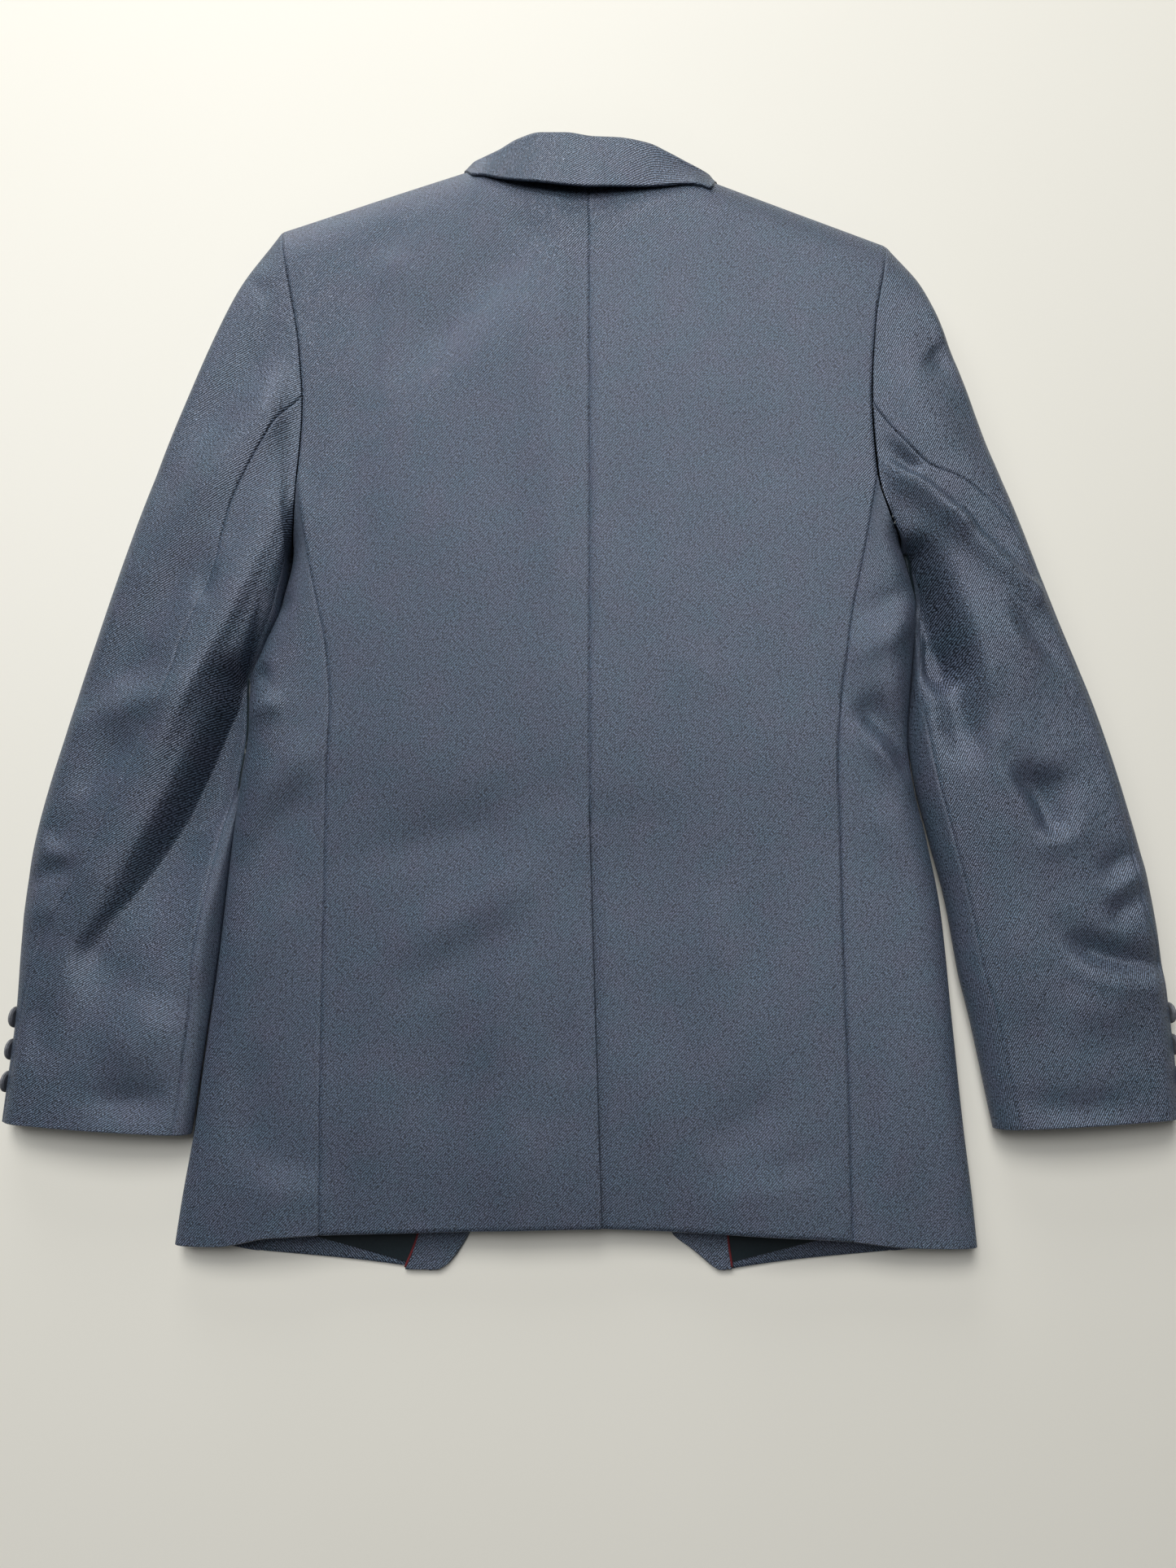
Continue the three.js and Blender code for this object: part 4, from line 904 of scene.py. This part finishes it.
# ---- Materials ----
class Nodes:
    """A material's node tree, with short calls for adding to it."""

    def __init__(self, name):
        self.material = bpy.data.materials.new(name)
        self.material.use_nodes = True
        self.tree = self.material.node_tree
        self.shader = self.tree.nodes["Principled BSDF"]

    def add(self, kind, settings=None, **inputs):
        node = self.tree.nodes.new("ShaderNode" + kind)
        for key, value in (settings or {}).items():
            setattr(node, key, value)
        for key, value in inputs.items():
            self.set(node.inputs[int(key[1:]) if key[1:].isdigit() else key.replace("_", " ")], value)
        return node.outputs[0]

    def set(self, socket, value):
        if isinstance(value, bpy.types.NodeSocket):
            self.tree.links.new(value, socket)
        else:
            socket.default_value = value

    def math(self, operation, a, b=0.0, c=0.0):
        return self.add("Math", {"operation": operation}, i0=a, i1=b, i2=c)

    def place(self):
        return self.tree.nodes.new("ShaderNodeTexCoord").outputs["Object"]

    def finish(self, colour, rough, bump):
        """Colour, roughness as (value, gain, base) and bump as (height, strength, distance)."""
        self.set(self.shader.inputs["Base Color"], colour)
        self.set(self.shader.inputs["Roughness"], self.math("MULTIPLY_ADD", *rough))
        height, strength, distance = bump
        self.set(self.shader.inputs["Normal"],
                 self.add("Bump", Height=height, Strength=strength, Distance=distance))
        return self.material

    def blend(self, share, a, b):
        node = self.tree.nodes.new("ShaderNodeMix")
        node.data_type = "RGBA"
        self.set(node.inputs[0], share)
        self.set(node.inputs[6], a)
        self.set(node.inputs[7], b)
        return node.outputs[2]


def linear(red, green, blue):
    """A colour from its sRGB numbers out of 255."""
    shares = (((c / 255 + 0.055) / 1.055) ** 2.4 if c > 10 else c / 3294.6 for c in (red, green, blue))
    return tuple(shares) + (1.0,)


TWILL_LEAN, TWILL_PITCH = 47, 0.00138  # degrees, up to the right, and metres from rib to rib


def wool_material():
    """A heathered twill: slanting ribs of light and dark yarns."""
    n = Nodes("wool_twill")
    grain = n.add("UVMap", {"uv_map": "grain"})
    rotated = n.add("Mapping", Vector=grain, Rotation=(0, 0, math.radians(-TWILL_LEAN)))
    split = n.tree.nodes.new("ShaderNodeSeparateXYZ")
    n.set(split.inputs[0], rotated)
    wobble = n.add("TexNoise", Vector=grain, Scale=150.0, Detail=2.0)
    wander = n.math("MULTIPLY", wobble, 3.0)
    phase = n.math("MULTIPLY_ADD", split.outputs[1], 2 * math.pi / TWILL_PITCH, wander)
    rib = n.math("MULTIPLY_ADD", n.math("SINE", phase), 0.5, 0.5)
    drawn = n.add("Mapping", Vector=rotated, Scale=(0.62, 1.0, 1.0))
    yarn = n.add("TexNoise", Vector=drawn, Scale=1250.0, Detail=0.0)
    fleck = n.add("TexNoise", Vector=rotated, Scale=520.0, Detail=1.0)
    # Yarns show light where they rise over the ribs; flecks make whole stretches lighter or darker.
    light = n.math("MULTIPLY_ADD", yarn, 2.4, n.math("MULTIPLY_ADD", fleck, 0.7, rib))
    ramp = n.tree.nodes.new("ShaderNodeMapRange")
    n.set(ramp.inputs[0], light)
    for index, value in ((1, 1.85), (2, 2.65), (3, 0.0), (4, 1.0)):
        ramp.inputs[index].default_value = value
    slow = n.add("TexNoise", Vector=grain, Scale=38.0, Detail=2.0)
    warm = n.math("MULTIPLY_ADD", slow, 2.4, -0.7)
    dark = n.blend(warm, linear(14, 19, 25), linear(17, 18, 25))
    pale = n.blend(warm, linear(103, 126, 148), linear(114, 123, 147))
    for socket, value in (
        ("Specular IOR Level", 1.0), ("Specular Tint", (0.76, 0.83, 1.0, 1.0)), ("Sheen Weight", 0.03),
        ("Sheen Roughness", 0.4), ("Sheen Tint", (0.5, 0.6, 0.75, 1.0)),
    ):
        n.shader.inputs[socket].default_value = value
    height = n.math("MULTIPLY_ADD", yarn, 1.6, rib)
    share = ramp.outputs[0]
    return n.finish(n.blend(share, dark, pale), (share, -0.15, 0.52), (height, 0.5, 0.0006))


def satin_material():
    n = Nodes("lining_satin")
    grain = n.add("UVMap", {"uv_map": "grain"})
    drawn = n.add("Mapping", Vector=grain, Scale=(1.0, 0.15, 1.0))
    thread = n.add("TexNoise", Vector=drawn, Scale=1800.0, Detail=1.0)
    slow = n.add("TexNoise", Vector=grain, Scale=30.0, Detail=2.0)
    share = n.math("MULTIPLY_ADD", thread, 0.5, n.math("MULTIPLY", slow, 0.4))
    height = n.math("ADD", thread, n.math("MULTIPLY", slow, 4.0))
    colour = n.blend(share, linear(15, 23, 27), linear(34, 47, 53))
    return n.finish(colour, (thread, 0.1, 0.33), (height, 0.3, 0.0003))


def horn_material():
    n = Nodes("horn")
    place = n.place()
    cloud = n.add("TexNoise", Vector=place, Scale=260.0, Detail=3.0, Distortion=1.2)
    fine = n.add("TexNoise", Vector=place, Scale=900.0, Detail=2.0)
    colour = n.blend(cloud, linear(58, 60, 66), linear(132, 134, 140))
    return n.finish(colour, (cloud, 0.15, 0.26), (fine, 0.15, 0.0002))


def piping_material():
    n = Nodes("piping_satin")
    stretched = n.add("Mapping", Vector=n.place(), Scale=(1.0, 0.4, 1.0))
    thread = n.add("TexNoise", Vector=stretched, Scale=2200.0, Detail=1.0)
    colour = n.blend(thread, linear(74, 26, 32), linear(128, 48, 52))
    return n.finish(colour, (thread, 0.1, 0.35), (thread, 0.3, 0.0002))


def thread_material():
    n = Nodes("button_thread")
    ply = n.add("TexNoise", Vector=n.place(), Scale=2600.0, Detail=1.0)
    colour = n.blend(ply, linear(22, 25, 31), linear(62, 68, 78))
    return n.finish(colour, (ply, 0.1, 0.6), (ply, 0.4, 0.0001))


def floor_material():
    n = Nodes("pale_floor")
    slow = n.add("TexNoise", Vector=n.place(), Scale=2.0, Detail=3.0)
    n.set(n.shader.inputs["Base Color"], n.blend(slow, linear(237, 234, 223), linear(242, 239, 230)))
    n.shader.inputs["Roughness"].default_value = 0.6
    return n.material


wool, satin, horn = wool_material(), satin_material(), horn_material()
red_satin, thread = piping_material(), thread_material()
CLOTHS = [wool, satin]


def dress(piece, slot, *nodes):
    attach(piece, "root")
    if nodes:
        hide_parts(*nodes)
    return piece


PANELS = (
    ("back", back_panel, CLOTHS), ("side", side_panel, CLOTHS), ("front", front_panel, [wool]),
    ("lapel", lapel, [wool]), ("collar_end", collar_end, [wool]), ("facing", facing_panel, [wool]),
    ("lining", lining_panel, [satin]),
)
for side_name, side in SIDES.items():
    lines = LEFT if side["sign"] < 0 else RIGHT
    sleeve = Sleeve(side, lines, SLEEVE_FOLDS[side_name], LAP[side_name])
    made = {key: make(key + "_cloth_" + side_name, lines, cloths) for key, make, cloths in PANELS}
    for key in ("top_sleeve", "under_sleeve"):
        made[key] = sleeve_panel(key + "_cloth_" + side_name, sleeve, CLOTHS, key == "top_sleeve")
    cord = dress(piping("piping_" + side_name, lines, [red_satin]), "satin")
    for key, piece in made.items():
        dress(piece, "satin" if key == "lining" else "wool", key + "_" + side_name)
    for i, t in enumerate(CUFF_BUTTONS_AT, 1):
        around, step = 1.985, 0.004
        place = sleeve.ring(around, t)
        facing = np.cross(sleeve.ring(around + step, t) - place, sleeve.ring(around, t + step) - place)
        facing = facing * lines.sign
        name = "cuff_button_" + side_name + "_" + str(i)
        disc, stitches = button(
            name + "_horn", place + 0.1 * unit(facing), facing, CUFF_BUTTON, [horn, thread])
        dress(disc, "horn", name)
        dress(stitches, "wool")
dress(collar_back("collar_cloth", [wool]), "wool", "collar")
for i, level in enumerate(FRONT_BUTTONS, 1):
    name = "front_button_" + str(i)
    disc, stitches = button(
        name + "_horn", (0, level, FRONT_BUTTON["thickness"]), (0, 0, -1), FRONT_BUTTON, [horn, thread])
    dress(disc, "horn", name)
    dress(stitches, "wool")

# ---- Floor, light and camera ----
floor_mesh = bpy.data.meshes.new("floor")
corners = [(-6, -6, -0.0004), (6, -6, -0.0004), (6, 6, -0.0004), (-6, 6, -0.0004)]
floor_mesh.from_pydata(corners, [], [(0, 1, 2, 3)])
floor_mesh.materials.append(floor_material())
floor = in_scene("floor", floor_mesh)


def area_light(name, place, aim, size, power, colour):
    light = bpy.data.lights.new(name, "AREA")
    light.shape = "RECTANGLE"
    light.size, light.size_y = size
    light.energy = power
    light.color = colour
    lamp = in_scene(name, light)
    lamp.location = place
    direction = np.array(aim, float) - np.array(place, float)
    x, y, z = direction / np.linalg.norm(direction)
    lamp.rotation_euler = (math.acos(-z), 0, math.atan2(-x, y) if abs(x) + abs(y) > 1e-6 else 0)


area_light("window", (-0.6, 3.4, 3.2), (0, 0, 0), (2.0, 1.6), 106, (1.0, 0.995, 0.975))
area_light("window_low", (-0.6, 3.8, 1.0), (0, 0, 0), (2.0, 1.0), 44, (1.0, 0.995, 0.975))
area_light("window_left", (-2.5, 2.5, 2.4), (0, 0, 0), (1.6, 1.6), 28, (1.0, 0.995, 0.98))
area_light("overhead", (-0.5, 1.05, 2.6), (0, 0, 0), (1.6, 1.2), 33, (0.97, 0.985, 1.0))
area_light("right", (3.0, 0.5, 2.0), (0, 0, 0), (1.6, 1.6), 3, (0.98, 0.99, 1.0))
area_light("near", (0.0, -2.5, 2.2), (0, -0.4, 0), (2.4, 1.2), 5, (1.0, 0.99, 0.98))
world = bpy.data.worlds.new("studio")
world.use_nodes = True
world.node_tree.nodes["Background"].inputs["Color"].default_value = (0.93, 0.96, 1.0, 1)
world.node_tree.nodes["Background"].inputs["Strength"].default_value = 0.02
bpy.context.scene.world = world
bpy.context.scene.view_settings.view_transform = "Standard"

view = bpy.data.cameras.new("camera")
view.lens = 27.04
view.sensor_width = 36
camera = in_scene("camera", view)
camera.location = (-0.0009, -0.04895, 0.8647)
camera.rotation_euler = (math.radians(5), 0, 0)
bpy.context.scene.camera = camera
